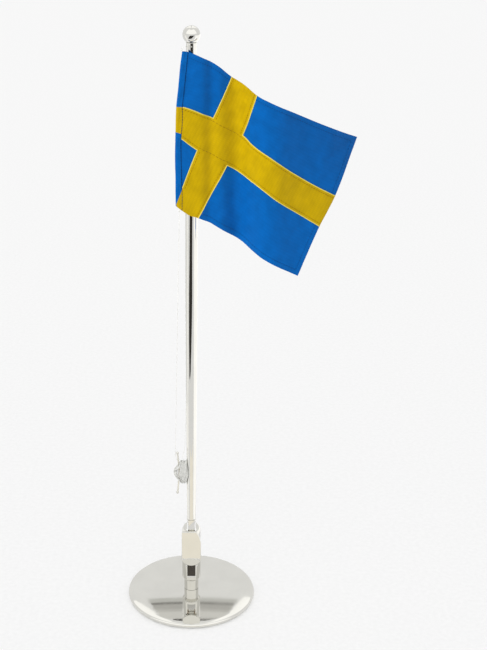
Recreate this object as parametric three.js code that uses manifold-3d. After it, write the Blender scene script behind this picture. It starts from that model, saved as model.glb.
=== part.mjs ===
// Desk flag stand: a polished metal table flagpole that folds back over a weighted round foot,
// with a cleat, a halyard and a small sewn flag.
// Millimetres, +Z up, -Y is the front, origin at the centre of the underside.

import * as THREE from 'three';
import { mergeVertices } from 'three/addons/utils/BufferGeometryUtils.js';
import Module from 'manifold-3d';

const wasm = await Module();
wasm.setup();

// ---------------------------------------------------------------- driving dimensions

const GAP = 0.1; // clearance between neighbouring solids

const BASE_RADIUS = 44; // widest point of the round foot
const BASE_HEIGHT = 5; // top of the shallow dome at its centre
const BASE_EDGE_DROP = 1.3; // how far the dome falls towards the rim
const BASE_SHEET = 1.3; // wall of the spun shell
const FELT_RADIUS = 40;
const FELT_HEIGHT = 1;
const BALLAST_RADIUS = 41.4;

const STEM_RADIUS = 5;
const STEM_TOP = 12.6;
const FORK_RADIUS = 6.4; // round fork above the stem
const FORK_BOTTOM = 14.4;
const FORK_TOP = 57; // top of the rounded cheeks
const SLOT_WIDTH = 5.8; // gap between the two cheeks
const SLOT_BOTTOM = 16.5;

const PLATE_WIDTH = 13.2; // flat stop plate on the front of the fork
const PLATE_BOTTOM = 26.3;
const PLATE_TOP = 53;
const PLATE_THICKNESS = 1.9;
const PLATE_BACK = -5; // its back face
const PLATE_END_RADIUS = 7.1; // rounded lower end

const PIVOT_HEIGHT = 30; // axis of the fold
const PIN_RADIUS = 1.4;
const WASHER_RADIUS = 3.4;
const WASHER_THICKNESS = 0.4;
const TANG_THICKNESS = 4.6;
const TANG_END_RADIUS = 2.9;
const TANG_FRONT = -4.7; // rests against the stop plate
const TANG_BACK = 3;
const TANG_TOP = 60;

const POLE_TOP = 384.2;
const POLE_TOP_RADIUS = 3.2;
const POLE_BELLY_HEIGHT = 262; // the pole swells here
const POLE_BELLY_RADIUS = 3.9;
const POLE_FOOT_RADIUS = 3;
const SPIGOT_RADIUS = 1.5;
const SPIGOT_LENGTH = 9;

const BALL_RADIUS = 5.35;
const BALL_HEIGHT = 388.7; // centre of the finial ball
const TIP_RADIUS = 1.3; // threaded tip of the pole, inside the ball
const TIP_LENGTH = 5;

const LINE_RADIUS = 0.25; // nylon halyard
const LINE_HOLE_RADIUS = 0.65;
const LINE_HOLE_HEIGHT = 382; // the halyard passes through the pole here, along Y
const LINE_Y = -4.8; // the hoisting strand hangs just in front of the pole
const LINE_TOP = new THREE.Vector3(-5.6, LINE_Y, 381.2);
const KNOT_RADIUS = 0.7; // knots above and below the flag
const KNOT_HEIGHTS = { upper_knot: 380.2, lower_knot: 281.4 };
const LINE_FOOT = new THREE.Vector3(-10.7, LINE_Y, 112);

const CLEAT_LOW = 80.5; // lower and upper horn tips
const CLEAT_HIGH = 110.5;
const CLEAT_BAR_X = -8.3;
const CLEAT_TIP_X = -9.4;
const CLEAT_BAR_RADIUS = 0.65;
const CLEAT_BALL_RADIUS = 1.05;
const CLEAT_POST_RADIUS = 0.9;
const CLEAT_POST_HEIGHTS = [92, 99];
const WINDING_OUTER = [3, 8.4]; // half sizes of the wound line along Y and Z
const WINDING_INNER = [1.2, 4.8];

const CLOTH_THICKNESS = 0.8; // the solid that stands for the thin cloth
const CLOTH_ALONG = 16;
const CLOTH_ACROSS = 10;
const UPRIGHT = [5, 7]; // upright of the cross, in units along the flag
const BAR = [4, 6]; // long bar of the cross, in units down the flag
const HOIST_SLANT = 0.5; // units the hoist edge moves along for each unit down
const SLEEVE_UNITS = 0.66; // cloth taken up by the sleeve
const SLEEVE_WIDTH = 4.1;
const SLEEVE_THICKNESS = 1.8;
const SEAM_GAP = 0.034; // half gap between two panels, in units
const HOIST_TOP = [-6.3, 379.3]; // x and z of the hung corners
const HOIST_BOTTOM = [-9.5, 283.6];
const FLY_TOP = [103.5, 321.5];
const FLY_BOTTOM = [66.5, 241];
const CLOTH_Y = -5.3; // the cloth passes in front of the pole

const SEGMENTS = 36; // round outlines
const DISC_SEGMENTS = 72;

// ---------------------------------------------------------------- materials

function finish(color, roughness, metalness) {
  return new THREE.MeshStandardMaterial({ color, roughness, metalness });
}

const polishedNickel = finish(0xd9d6cd, 0.12, 1);
const steel = finish(0x8c8f92, 0.45, 1);
const bronze = finish(0xb08a55, 0.4, 1);
const felt = finish(0x1c1c1f, 0.95, 0);
const nylon = finish(0xe9e9e6, 0.35, 0);
const blackNylon = finish(0x17171a, 0.5, 0);
const blueSatin = finish(0x0a5cb8, 0.55, 0);
const yellowSatin = finish(0xe0c21a, 0.55, 0);

// ---------------------------------------------------------------- solid helpers

/** A closed three.js geometry as a solid that can be cut and joined. */
function toSolid(geometry, matrix = new THREE.Matrix4()) {
  const bare = geometry.clone().applyMatrix4(matrix);
  bare.deleteAttribute('normal');
  bare.deleteAttribute('uv');
  const merged = mergeVertices(bare, 1e-4);
  return new wasm.Manifold(new wasm.Mesh({
    numProp: 3,
    vertProperties: new Float32Array(merged.attributes.position.array),
    triVerts: new Uint32Array(merged.index.array),
  }));
}

/** The geometry of a finished solid. */
function fromSolid(solid) {
  const mesh = solid.getMesh();
  const geometry = new THREE.BufferGeometry();
  geometry.setAttribute('position', new THREE.BufferAttribute(new Float32Array(mesh.vertProperties), 3));
  geometry.setIndex(new THREE.BufferAttribute(new Uint32Array(mesh.triVerts), 1));
  geometry.computeVertexNormals();
  return geometry;
}

/** A lathe solid about Z from [radius, height] points, first and last on the axis or closed. */
function turned(points, segments = SEGMENTS) {
  const profile = points.map(([radius, height]) => new THREE.Vector2(radius, height));
  return new THREE.LatheGeometry(profile, segments).rotateX(Math.PI / 2);
}

/** A cylinder between two points. */
function rod(radius, from, to, segments = 24) {
  const start = new THREE.Vector3(...from);
  const along = new THREE.Vector3(...to).sub(start);
  const geometry = new THREE.CylinderGeometry(radius, radius, along.length(), segments);
  const turn = new THREE.Quaternion().setFromUnitVectors(new THREE.Vector3(0, 1, 0), along.clone().normalize());
  geometry.applyQuaternion(turn);
  return geometry.translate(...start.addScaledVector(along, 0.5).toArray());
}

/** A box from its lowest and highest corners. */
function block(low, high) {
  const geometry = new THREE.BoxGeometry(high[0] - low[0], high[1] - low[1], high[2] - low[2]);
  return geometry.translate((low[0] + high[0]) / 2, (low[1] + high[1]) / 2, (low[2] + high[2]) / 2);
}

/** Points on an arc in a plane, angles in degrees. */
function arc(centre, radius, from, to, steps) {
  return Array.from({ length: steps + 1 }, (_, i) => {
    const angle = THREE.MathUtils.degToRad(from + ((to - from) * i) / steps);
    return [centre[0] + radius * Math.cos(angle), centre[1] + radius * Math.sin(angle)];
  });
}

/** A flat outline in X and Z, extruded along Y from front to back. */
function facing(outline, front, back) {
  const shape = new THREE.Shape(outline.map(([x, z]) => new THREE.Vector2(x, z)));
  const geometry = new THREE.ExtrudeGeometry(shape, { depth: back - front, bevelEnabled: false });
  return geometry.rotateX(Math.PI / 2).translate(0, back, 0);
}

/** A flat outline in Y and Z, extruded along X. */
function sideways(outline, left, right, holes = []) {
  const toPoint = ([y, z]) => new THREE.Vector2(y, z);
  const shape = new THREE.Shape(outline.map(toPoint));
  holes.forEach((hole) => shape.holes.push(new THREE.Path(hole.map(toPoint))));
  const geometry = new THREE.ExtrudeGeometry(shape, { depth: right - left, bevelEnabled: false });
  const matrix = new THREE.Matrix4().makeBasis(
    new THREE.Vector3(0, 1, 0),
    new THREE.Vector3(0, 0, 1),
    new THREE.Vector3(1, 0, 0),
  );
  return geometry.applyMatrix4(matrix).translate(left, 0, 0);
}

/** A round cord or wire along a smooth curve through points. */
function wire(points, radius, steps, sides = 8) {
  const curve = new THREE.CatmullRomCurve3(points, false, 'centripetal');
  const section = new THREE.Shape(arc([0, 0], radius, 0, 360 - 360 / sides, sides - 1)
    .map(([x, y]) => new THREE.Vector2(x, y)));
  return new THREE.ExtrudeGeometry(section, { steps, extrudePath: curve, bevelEnabled: false });
}

const group = new THREE.Group();

function add(name, geometry, material) {
  const mesh = new THREE.Mesh(geometry, material);
  mesh.name = name;
  group.add(mesh);
}

// ---------------------------------------------------------------- foot

/** Height of the dome's outer face at a radius. */
function domeHeight(radius) {
  return BASE_HEIGHT - BASE_EDGE_DROP * (radius / BASE_RADIUS) ** 2;
}

/** Points along the dome, at a depth below its outer face. */
function dome(from, to, depth, steps = 4) {
  return Array.from({ length: steps + 1 }, (_, i) => {
    const radius = from + ((to - from) * i) / steps;
    return [radius, domeHeight(radius) - depth];
  });
}

const SCREW_RADIUS = 1.6;
const SCREW_HEAD_RADIUS = 3.4;
const SCREW_HEAD_HEIGHT = 1.3;
const RIM_RADIUS = 1.6; // rounding of the outer rim
const RIM_HEIGHT = domeHeight(BASE_RADIUS) - RIM_RADIUS;
const SHELL_BOTTOM = 0.5;
const boreRadius = SCREW_RADIUS + 0.2;
const shellInside = BASE_RADIUS - BASE_SHEET;

add('base_disc', turned([
  ...dome(boreRadius, BASE_RADIUS - RIM_RADIUS, 0),
  ...arc([BASE_RADIUS - RIM_RADIUS, RIM_HEIGHT], RIM_RADIUS, 80, 0, 5),
  [BASE_RADIUS - 0.3, SHELL_BOTTOM + 0.5],
  [BASE_RADIUS - 0.8, SHELL_BOTTOM],
  [shellInside, SHELL_BOTTOM],
  ...dome(boreRadius, shellInside - 1, BASE_SHEET).reverse(),
  [boreRadius, domeHeight(boreRadius)],
].reverse(), DISC_SEGMENTS), polishedNickel);

const ballastBottom = FELT_HEIGHT + GAP;
add('ballast_weight', turned([
  [boreRadius, ballastBottom + SCREW_HEAD_HEIGHT + GAP],
  [SCREW_HEAD_RADIUS + GAP, ballastBottom],
  [BALLAST_RADIUS, ballastBottom],
  ...dome(boreRadius, BALLAST_RADIUS, BASE_SHEET + GAP).reverse(),
  [boreRadius, ballastBottom + SCREW_HEAD_HEIGHT + GAP],
], DISC_SEGMENTS), steel);

add('felt_pad', turned([
  [0, 0],
  [FELT_RADIUS, 0],
  [FELT_RADIUS, FELT_HEIGHT],
  [0, FELT_HEIGHT],
]), felt);

const screwBottom = ballastBottom + GAP;
const screwTop = STEM_TOP - 2;
add('base_screw', turned([
  [0, screwBottom],
  [SCREW_HEAD_RADIUS - GAP, screwBottom],
  [SCREW_RADIUS, screwBottom + SCREW_HEAD_HEIGHT],
  [SCREW_RADIUS, screwTop],
  [0, screwTop],
], 24), steel);

// ---------------------------------------------------------------- fork and its stop plate

const forkBlank = toSolid(turned([
  [0, BASE_HEIGHT + GAP],
  [STEM_RADIUS, BASE_HEIGHT + GAP],
  [STEM_RADIUS, STEM_TOP],
  [FORK_RADIUS - 0.3, FORK_BOTTOM - 0.6],
  [FORK_RADIUS, FORK_BOTTOM],
  ...arc([0, FORK_TOP - FORK_RADIUS], FORK_RADIUS, 0, 80, 8),
  [0, FORK_TOP],
]));
const slotHalf = SLOT_WIDTH / 2;
const slotCut = toSolid(block([-slotHalf, -10, SLOT_BOTTOM], [slotHalf, 10, FORK_TOP + 5]));
const frontFlat = toSolid(block(
  [-10, -10, PLATE_BOTTOM - GAP],
  [10, PLATE_BACK + GAP, FORK_TOP + 5],
));
const pinHole = toSolid(rod(PIN_RADIUS + GAP, [-10, 0, PIVOT_HEIGHT], [10, 0, PIVOT_HEIGHT]));
const screwHole = toSolid(rod(SCREW_RADIUS + GAP, [0, 0, 0], [0, 0, screwTop + 0.6]));
add('hinge_fork', fromSolid(
  forkBlank.subtract(slotCut).subtract(frontFlat).subtract(pinHole).subtract(screwHole),
), polishedNickel);

const halfPlate = PLATE_WIDTH / 2;
const endCentre = PLATE_BOTTOM + PLATE_END_RADIUS;
const endAngle = THREE.MathUtils.radToDeg(Math.acos(halfPlate / PLATE_END_RADIUS));
add('stop_plate', facing([
  ...arc([0, endCentre], PLATE_END_RADIUS, 180 + endAngle, 360 - endAngle, 12),
  [halfPlate, PLATE_TOP - 8.2],
  [halfPlate - 1.3, PLATE_TOP - 3.4],
  [halfPlate - 3, PLATE_TOP],
  [-halfPlate + 0.5, PLATE_TOP],
  [-halfPlate, PLATE_TOP - 0.6],
], PLATE_BACK - PLATE_THICKNESS, PLATE_BACK), polishedNickel);

// ---------------------------------------------------------------- fold pivot

const pinReach = FORK_RADIUS - GAP;
add('pivot_pin', rod(PIN_RADIUS, [-pinReach, 0, PIVOT_HEIGHT], [pinReach, 0, PIVOT_HEIGHT]), steel);

// A black nylon pad in the slot, below the foot of the pole, steadies the fold.
const PAD_TOP = PIVOT_HEIGHT - WASHER_RADIUS - 2 * GAP;
const PAD_REACH = 4.6;
add('friction_pad', sideways([
  [-PAD_REACH, SLOT_BOTTOM + GAP],
  [PAD_REACH, SLOT_BOTTOM + GAP],
  [PAD_REACH, PAD_TOP - 0.5],
  [PAD_REACH - 0.5, PAD_TOP],
  [0.5 - PAD_REACH, PAD_TOP],
  [-PAD_REACH, PAD_TOP - 0.5],
], GAP - slotHalf, slotHalf - GAP), blackNylon);

/** A flat friction washer on the pivot, starting at x. */
function washer(x) {
  const ring = turned([
    [PIN_RADIUS + GAP, 0],
    [WASHER_RADIUS, 0],
    [WASHER_RADIUS, WASHER_THICKNESS],
    [PIN_RADIUS + GAP, WASHER_THICKNESS],
    [PIN_RADIUS + GAP, 0],
  ], 32);
  return ring.rotateY(Math.PI / 2).translate(x, 0, PIVOT_HEIGHT);
}

const tangHalf = TANG_THICKNESS / 2;
const washerPlay = (slotHalf - tangHalf - WASHER_THICKNESS) / 2;
add('friction_washer_left', washer(-tangHalf - washerPlay - WASHER_THICKNESS), bronze);
add('friction_washer_right', washer(tangHalf + washerPlay), bronze);

const tangBlade = toSolid(sideways([
  ...arc([0, PIVOT_HEIGHT], TANG_END_RADIUS, 180, 360, 14),
  [TANG_BACK, PIVOT_HEIGHT + 4],
  [TANG_BACK, TANG_TOP],
  [-POLE_FOOT_RADIUS, TANG_TOP],
  [-POLE_FOOT_RADIUS, FORK_TOP - 2],
  [TANG_FRONT, PLATE_TOP - 2.5],
  [TANG_FRONT, PIVOT_HEIGHT + 5],
], -tangHalf, tangHalf));
const tangSpigot = toSolid(rod(SPIGOT_RADIUS, [0, 0, TANG_TOP - 1], [0, 0, TANG_TOP + SPIGOT_LENGTH]));
add('hinge_tang', fromSolid(tangBlade.add(tangSpigot).subtract(pinHole)), polishedNickel);

// ---------------------------------------------------------------- pole and finial

/** Radius of the slim, slightly swelling pole at a height. */
function poleRadius(height) {
  const below = height < POLE_BELLY_HEIGHT;
  const endRadius = below ? POLE_FOOT_RADIUS : POLE_TOP_RADIUS;
  const end = below ? TANG_TOP : POLE_TOP;
  const way = (height - POLE_BELLY_HEIGHT) / (end - POLE_BELLY_HEIGHT);
  return POLE_BELLY_RADIUS + (endRadius - POLE_BELLY_RADIUS) * way ** 1.6;
}

const poleFoot = TANG_TOP + GAP;
const POLE_STATIONS = 14;
const poleProfile = Array.from({ length: POLE_STATIONS + 1 }, (_, i) => {
  const height = poleFoot + ((POLE_TOP - poleFoot) * i) / POLE_STATIONS;
  return [poleRadius(height), height];
});
const poleBlank = toSolid(turned([
  [0, poleFoot],
  ...poleProfile,
  [TIP_RADIUS, POLE_TOP],
  [TIP_RADIUS, POLE_TOP + TIP_LENGTH],
  [0, POLE_TOP + TIP_LENGTH],
], 28));
const spigotBore = toSolid(rod(SPIGOT_RADIUS + GAP, [0, 0, 50], [0, 0, TANG_TOP + SPIGOT_LENGTH + 1]));
const lineBore = toSolid(rod(LINE_HOLE_RADIUS, [0, -9, LINE_HOLE_HEIGHT], [0, 9, LINE_HOLE_HEIGHT], 16));
const postBores = CLEAT_POST_HEIGHTS.map((height) => toSolid(
  rod(CLEAT_POST_RADIUS + GAP, [-9, 0, height], [-1.2, 0, height], 16),
));
const poleCuts = [spigotBore, lineBore, ...postBores];
add('pole_rod', fromSolid(poleCuts.reduce((solid, cut) => solid.subtract(cut), poleBlank)), polishedNickel);

const ballSeat = POLE_TOP + GAP;
const seatAngle = THREE.MathUtils.radToDeg(Math.asin((ballSeat - BALL_HEIGHT) / BALL_RADIUS));
const finialBlank = toSolid(turned([
  [0, ballSeat],
  ...arc([0, BALL_HEIGHT], BALL_RADIUS, seatAngle, 82, 12),
  [0, BALL_HEIGHT + BALL_RADIUS],
], 28));
const tipBore = toSolid(rod(TIP_RADIUS + GAP, [0, 0, POLE_TOP - 1], [0, 0, POLE_TOP + TIP_LENGTH + 0.6]));
add('finial_ball', fromSolid(finialBlank.subtract(tipBore)), polishedNickel);

// ---------------------------------------------------------------- cleat

const cleatMiddle = (CLEAT_LOW + CLEAT_HIGH) / 2;
const cleatBar = toSolid(wire([
  [CLEAT_TIP_X, CLEAT_LOW],
  [CLEAT_BAR_X - 0.5, CLEAT_LOW + 6],
  [CLEAT_BAR_X, cleatMiddle],
  [CLEAT_BAR_X - 0.5, CLEAT_HIGH - 6],
  [CLEAT_TIP_X, CLEAT_HIGH],
].map(([x, z]) => new THREE.Vector3(x, 0, z)), CLEAT_BAR_RADIUS, 14, 8));
const cleatBalls = [CLEAT_LOW, CLEAT_HIGH].map((height) => toSolid(
  new THREE.SphereGeometry(CLEAT_BALL_RADIUS, 12, 8).translate(CLEAT_TIP_X, 0, height),
));
const cleatPosts = CLEAT_POST_HEIGHTS.map((height) => toSolid(
  rod(CLEAT_POST_RADIUS, [CLEAT_BAR_X, 0, height], [-1.4, 0, height], 16),
));
const cleatSolid = [...cleatBalls, ...cleatPosts].reduce((solid, piece) => solid.add(piece), cleatBar);
add('cleat', fromSolid(cleatSolid), polishedNickel);

/** A stadium outline about the cleat's middle, from half sizes along Y and Z. */
function stadium([halfWidth, halfHeight]) {
  const reach = halfHeight - halfWidth;
  return [
    ...arc([0, cleatMiddle + reach], halfWidth, 0, 180, 10),
    ...arc([0, cleatMiddle - reach], halfWidth, 180, 360, 10),
  ];
}

const windingLeft = CLEAT_BAR_X + CLEAT_BAR_RADIUS + 0.15;
const windingRight = -poleRadius(cleatMiddle) - 0.6;
add('line_winding', sideways(
  stadium(WINDING_OUTER),
  windingLeft,
  windingRight,
  [stadium(WINDING_INNER)],
), nylon);

// ---------------------------------------------------------------- halyard

const lineUp = LINE_TOP.clone().sub(LINE_FOOT).normalize();
const windingTop = cleatMiddle + WINDING_OUTER[1] + 1.3;
const hoistStrand = rod(LINE_RADIUS, LINE_FOOT.toArray(), LINE_TOP.toArray(), 8);
const overTheTop = wire([
  LINE_TOP.clone().addScaledVector(lineUp, -0.5),
  LINE_TOP,
  new THREE.Vector3(-4.9, -5.2, LINE_HOLE_HEIGHT + 0.2),
  new THREE.Vector3(-2.4, -5.6, LINE_HOLE_HEIGHT + 0.6),
  new THREE.Vector3(-0.4, -5, LINE_HOLE_HEIGHT + 0.1),
  new THREE.Vector3(0, -4, LINE_HOLE_HEIGHT),
  new THREE.Vector3(0, 4, LINE_HOLE_HEIGHT),
  new THREE.Vector3(-0.2, 5, LINE_HOLE_HEIGHT - 0.8),
  new THREE.Vector3(-0.6, 5.3, LINE_HOLE_HEIGHT - 3),
  new THREE.Vector3(-0.7, 5.3, LINE_HOLE_HEIGHT - 6),
], LINE_RADIUS, 32);
const returnStrand = wire([
  new THREE.Vector3(-0.67, 5.3, LINE_HOLE_HEIGHT - 5),
  new THREE.Vector3(-2.4, 5.3, 240),
  new THREE.Vector3(-4, 4.8, 125),
  new THREE.Vector3(windingLeft + 1.6, 2.4, windingTop),
], LINE_RADIUS, 16);
const cleatStrand = wire([
  LINE_FOOT.clone().addScaledVector(lineUp, 0.5),
  LINE_FOOT,
  new THREE.Vector3(-9.9, -3.9, 108),
  new THREE.Vector3(windingLeft + 0.6, -2.2, windingTop),
], LINE_RADIUS, 8);
const halyard = [overTheTop, returnStrand, cleatStrand]
  .reduce((solid, stretch) => solid.add(toSolid(stretch)), toSolid(hoistStrand));
add('halyard_line', fromSolid(halyard), nylon);

Object.entries(KNOT_HEIGHTS).forEach(([name, height]) => {
  const way = (height - LINE_FOOT.z) / (LINE_TOP.z - LINE_FOOT.z);
  const centre = LINE_FOOT.clone().lerp(LINE_TOP, way);
  const ball = toSolid(new THREE.SphereGeometry(KNOT_RADIUS, 12, 8).translate(...centre.toArray()));
  const bore = rod(
    LINE_RADIUS + GAP,
    centre.clone().addScaledVector(lineUp, -2).toArray(),
    centre.clone().addScaledVector(lineUp, 2).toArray(),
    12,
  );
  add(name, fromSolid(ball.subtract(toSolid(bore))), nylon);
});

// ---------------------------------------------------------------- flag

/** Cubic step from 0 at low to 1 at high. */
function ease(low, high, value) {
  const t = THREE.MathUtils.clamp((value - low) / (high - low), 0, 1);
  return t * t * (3 - 2 * t);
}

/** A rounded bump of height 1 about a middle. */
function bump(value, middle, width) {
  return Math.exp(-(((value - middle) / width) ** 2));
}

// Where the hung cloth passes: for rows so many units down, places [units along, x, z].
const HUNG_ROWS = [
  [0, [
    [0.0, -5.5, 379.6], [0.66, -1.5, 379.3], [2.11, 7.6, 375.2], [3.55, 16.5, 369.5],
    [5, 24.2, 364.3], [6, 31.8, 360.0], [7, 38.9, 354.6], [8.3, 47.2, 350.5], [10, 58.7, 344.8],
    [12, 73.0, 337.3], [14, 87.7, 329.7], [16, 103.4, 322.0],
  ]],
  [4, [
    [2.0, -9.0, 346.8], [2.66, -4.9, 346.4], [3.44, 1.2, 344.4], [4.22, 7.1, 341.8],
    [5, 13.3, 338.2], [6, 22.3, 333.2], [7, 31.1, 329.6], [8.3, 37.9, 323.4], [10, 48.2, 316.4],
    [12, 61.0, 306.8], [14, 74.7, 297.3], [16, 89.2, 288.6],
  ]],
  [6, [
    [3.0, -9.7, 328.6], [3.66, -5.8, 327.1], [4.33, -1.2, 323.5], [5, 3.7, 320.1],
    [6, 12.8, 314.4], [7, 21.9, 308.9], [8.3, 30.4, 305.7], [10, 40.4, 299.2], [12, 52.4, 289.7],
    [14, 66.0, 280.1], [16, 79.9, 270.5],
  ]],
  [10, [
    [5, -9.6, 284.9], [5.66, -5.4, 281.5], [6.35, -0.7, 278.4], [7, 4.3, 276.9],
    [8.3, 14.0, 271.9], [10, 26.0, 263.7], [12, 38.4, 256.4], [14, 51.7, 248.0], [16, 66.8, 239.8],
  ]],
];

/** A smooth value through [place, value] points, straight beyond both ends. */
function through(points, place) {
  const last = points.length - 1;
  const slope = (i) => {
    const [a, b] = [points[Math.max(i - 1, 0)], points[Math.min(i + 1, last)]];
    return (b[1] - a[1]) / (b[0] - a[0]);
  };
  if (place <= points[0][0]) return points[0][1] + slope(0) * (place - points[0][0]);
  if (place >= points[last][0]) return points[last][1] + slope(last) * (place - points[last][0]);
  const i = points.findIndex((point) => point[0] > place) - 1;
  const [start, end] = [points[i], points[i + 1]];
  const span = end[0] - start[0];
  const t = (place - start[0]) / span;
  return start[1] * (1 + 2 * t) * (1 - t) ** 2 + slope(i) * span * t * (1 - t) ** 2
    + end[1] * t * t * (3 - 2 * t) - slope(i + 1) * span * t * t * (1 - t);
}

/** Where the seams hang, as x (axis 1) or z (axis 2), from units along and down the flag. */
function seamPlace(axis, along, down) {
  return through(HUNG_ROWS.map(([row, stations]) => [
    row,
    through(stations.map((station) => [station[0], station[axis]]), along),
  ]), down);
}

/** Where a point of the flag's cut hangs, from its units along and down the flag. */
function hang(along, down) {
  const row = down / CLOTH_ACROSS;
  const edge = HOIST_SLANT * down;
  const way = (along - edge) / (CLOTH_ALONG - edge);
  const lift = 0.055 * Math.sin(Math.PI * row) * (1 - ease(0, 0.55, way));
  const t = row - lift;
  const s = way - 0.025 * Math.sin(Math.PI * way) * (1 - t);
  const hoist = [0, 1].map((i) => THREE.MathUtils.lerp(HOIST_TOP[i], HOIST_BOTTOM[i], t));
  const fly = [0, 1].map((i) => THREE.MathUtils.lerp(FLY_TOP[i], FLY_BOTTOM[i], t));
  const droop = 2 * Math.sin(Math.PI * way) - 1.6 * bump(way, 0.18, 0.1);
  const free = ease(SLEEVE_UNITS, 2.6, along - edge); // clear of the straight sleeve
  const x = THREE.MathUtils.lerp(THREE.MathUtils.lerp(hoist[0], fly[0], s), seamPlace(1, along, down), free);
  const z = THREE.MathUtils.lerp(
    THREE.MathUtils.lerp(hoist[1], fly[1], s) - droop * (1 - t),
    seamPlace(2, along, down),
    free,
  );
  const folds = 7.5 * bump(x, 14 + 10 * t, 10) - 6 * bump(x, 46 + 4 * t, 17);
  const sweep = 26 * Math.max(0, (x - 52) / 52) ** 1.6 * (1 - t);
  return new THREE.Vector3(x, CLOTH_Y + ease(4.5, 13, x) * folds + sweep, z);
}

/** The first unit along the flag that is clear of the sleeve, at a row. */
function sleeveEdge(down) {
  return HOIST_SLANT * down + SLEEVE_UNITS;
}

/** A closed solid for one cloth panel, between two limits along, each a number or a rule, and two down. */
function panel(left, right, top, bottom, columns, rows) {
  const limit = (side, down) => (typeof side === 'function' ? side(down) : side);
  const positions = [];
  [-1, 1].forEach((side) => {
    for (let j = 0; j <= rows; j += 1) {
      const down = THREE.MathUtils.lerp(top + SEAM_GAP, bottom - SEAM_GAP, j / rows);
      const from = limit(left, down) + SEAM_GAP;
      const to = limit(right, down) - SEAM_GAP;
      for (let i = 0; i <= columns; i += 1) {
        const point = hang(THREE.MathUtils.lerp(from, to, i / columns), down);
        positions.push(point.x, point.y + (side * CLOTH_THICKNESS) / 2, point.z);
      }
    }
  });
  const layer = (columns + 1) * (rows + 1);
  const at = (i, j, back) => i + j * (columns + 1) + (back ? layer : 0);
  const index = [];
  for (let j = 0; j < rows; j += 1) {
    for (let i = 0; i < columns; i += 1) {
      index.push(at(i, j), at(i, j + 1), at(i + 1, j + 1), at(i, j), at(i + 1, j + 1), at(i + 1, j));
      index.push(at(i, j, 1), at(i + 1, j + 1, 1), at(i, j + 1, 1), at(i, j, 1), at(i + 1, j, 1), at(i + 1, j + 1, 1));
    }
  }
  const border = [];
  for (let i = 0; i < columns; i += 1) border.push([i, 0]);
  for (let j = 0; j < rows; j += 1) border.push([columns, j]);
  for (let i = columns; i > 0; i -= 1) border.push([i, rows]);
  for (let j = rows; j > 0; j -= 1) border.push([0, j]);
  border.forEach(([i, j], k) => {
    const [m, n] = border[(k + 1) % border.length];
    index.push(at(i, j), at(m, n), at(m, n, 1), at(i, j), at(m, n, 1), at(i, j, 1));
  });
  const geometry = new THREE.BufferGeometry();
  geometry.setAttribute('position', new THREE.BufferAttribute(new Float32Array(positions), 3));
  geometry.setIndex(index);
  geometry.computeVertexNormals();
  return geometry;
}

const cantonEnd = (UPRIGHT[0] - SLEEVE_UNITS) / HOIST_SLANT - 0.35; // the lower canton runs out here
const uprightLeft = (down) => Math.max(UPRIGHT[0], sleeveEdge(down));
add('canton_upper', panel(sleeveEdge, UPRIGHT[0], 0, BAR[0], 10, 8), blueSatin);
add('canton_lower', panel(sleeveEdge, UPRIGHT[0], BAR[1], cantonEnd, 5, 6), blueSatin);
add('fly_upper', panel(UPRIGHT[1], CLOTH_ALONG, 0, BAR[0], 18, 8), blueSatin);
add('fly_lower', panel(UPRIGHT[1], CLOTH_ALONG, BAR[1], CLOTH_ACROSS, 18, 8), blueSatin);
add('cross_upright_upper', panel(UPRIGHT[0], UPRIGHT[1], 0, BAR[0], 5, 8), yellowSatin);
add('cross_upright_lower', panel(uprightLeft, UPRIGHT[1], BAR[1], CLOTH_ACROSS, 5, 8), yellowSatin);
add('cross_bar', panel(sleeveEdge, CLOTH_ALONG, BAR[0], BAR[1], 26, 4), yellowSatin);

const sleeveBack = CLOTH_Y + SLEEVE_THICKNESS / 2 + 0.4;
const sleeveFront = sleeveBack - SLEEVE_THICKNESS;
const sleeveBlank = toSolid(facing([
  [HOIST_TOP[0], HOIST_TOP[1]],
  [HOIST_BOTTOM[0], HOIST_BOTTOM[1]],
  [HOIST_BOTTOM[0] + SLEEVE_WIDTH, HOIST_BOTTOM[1] - 2],
  [HOIST_TOP[0] + SLEEVE_WIDTH, HOIST_TOP[1] - 1.4],
], sleeveFront, sleeveBack));
const SLEEVE_BORE = 0.6;
const sleeveBore = toSolid(rod(
  SLEEVE_BORE,
  LINE_FOOT.toArray(),
  LINE_TOP.clone().addScaledVector(lineUp, 5).toArray(),
  16,
));
add('hoist_sleeve', fromSolid(sleeveBlank.subtract(sleeveBore)), blueSatin);

export default group;
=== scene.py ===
"""Desk flag stand: polished folding table flagpole with a sewn cross flag on a nylon halyard."""

import math

import bmesh
import bpy
from mathutils import Matrix, Vector, noise


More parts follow.
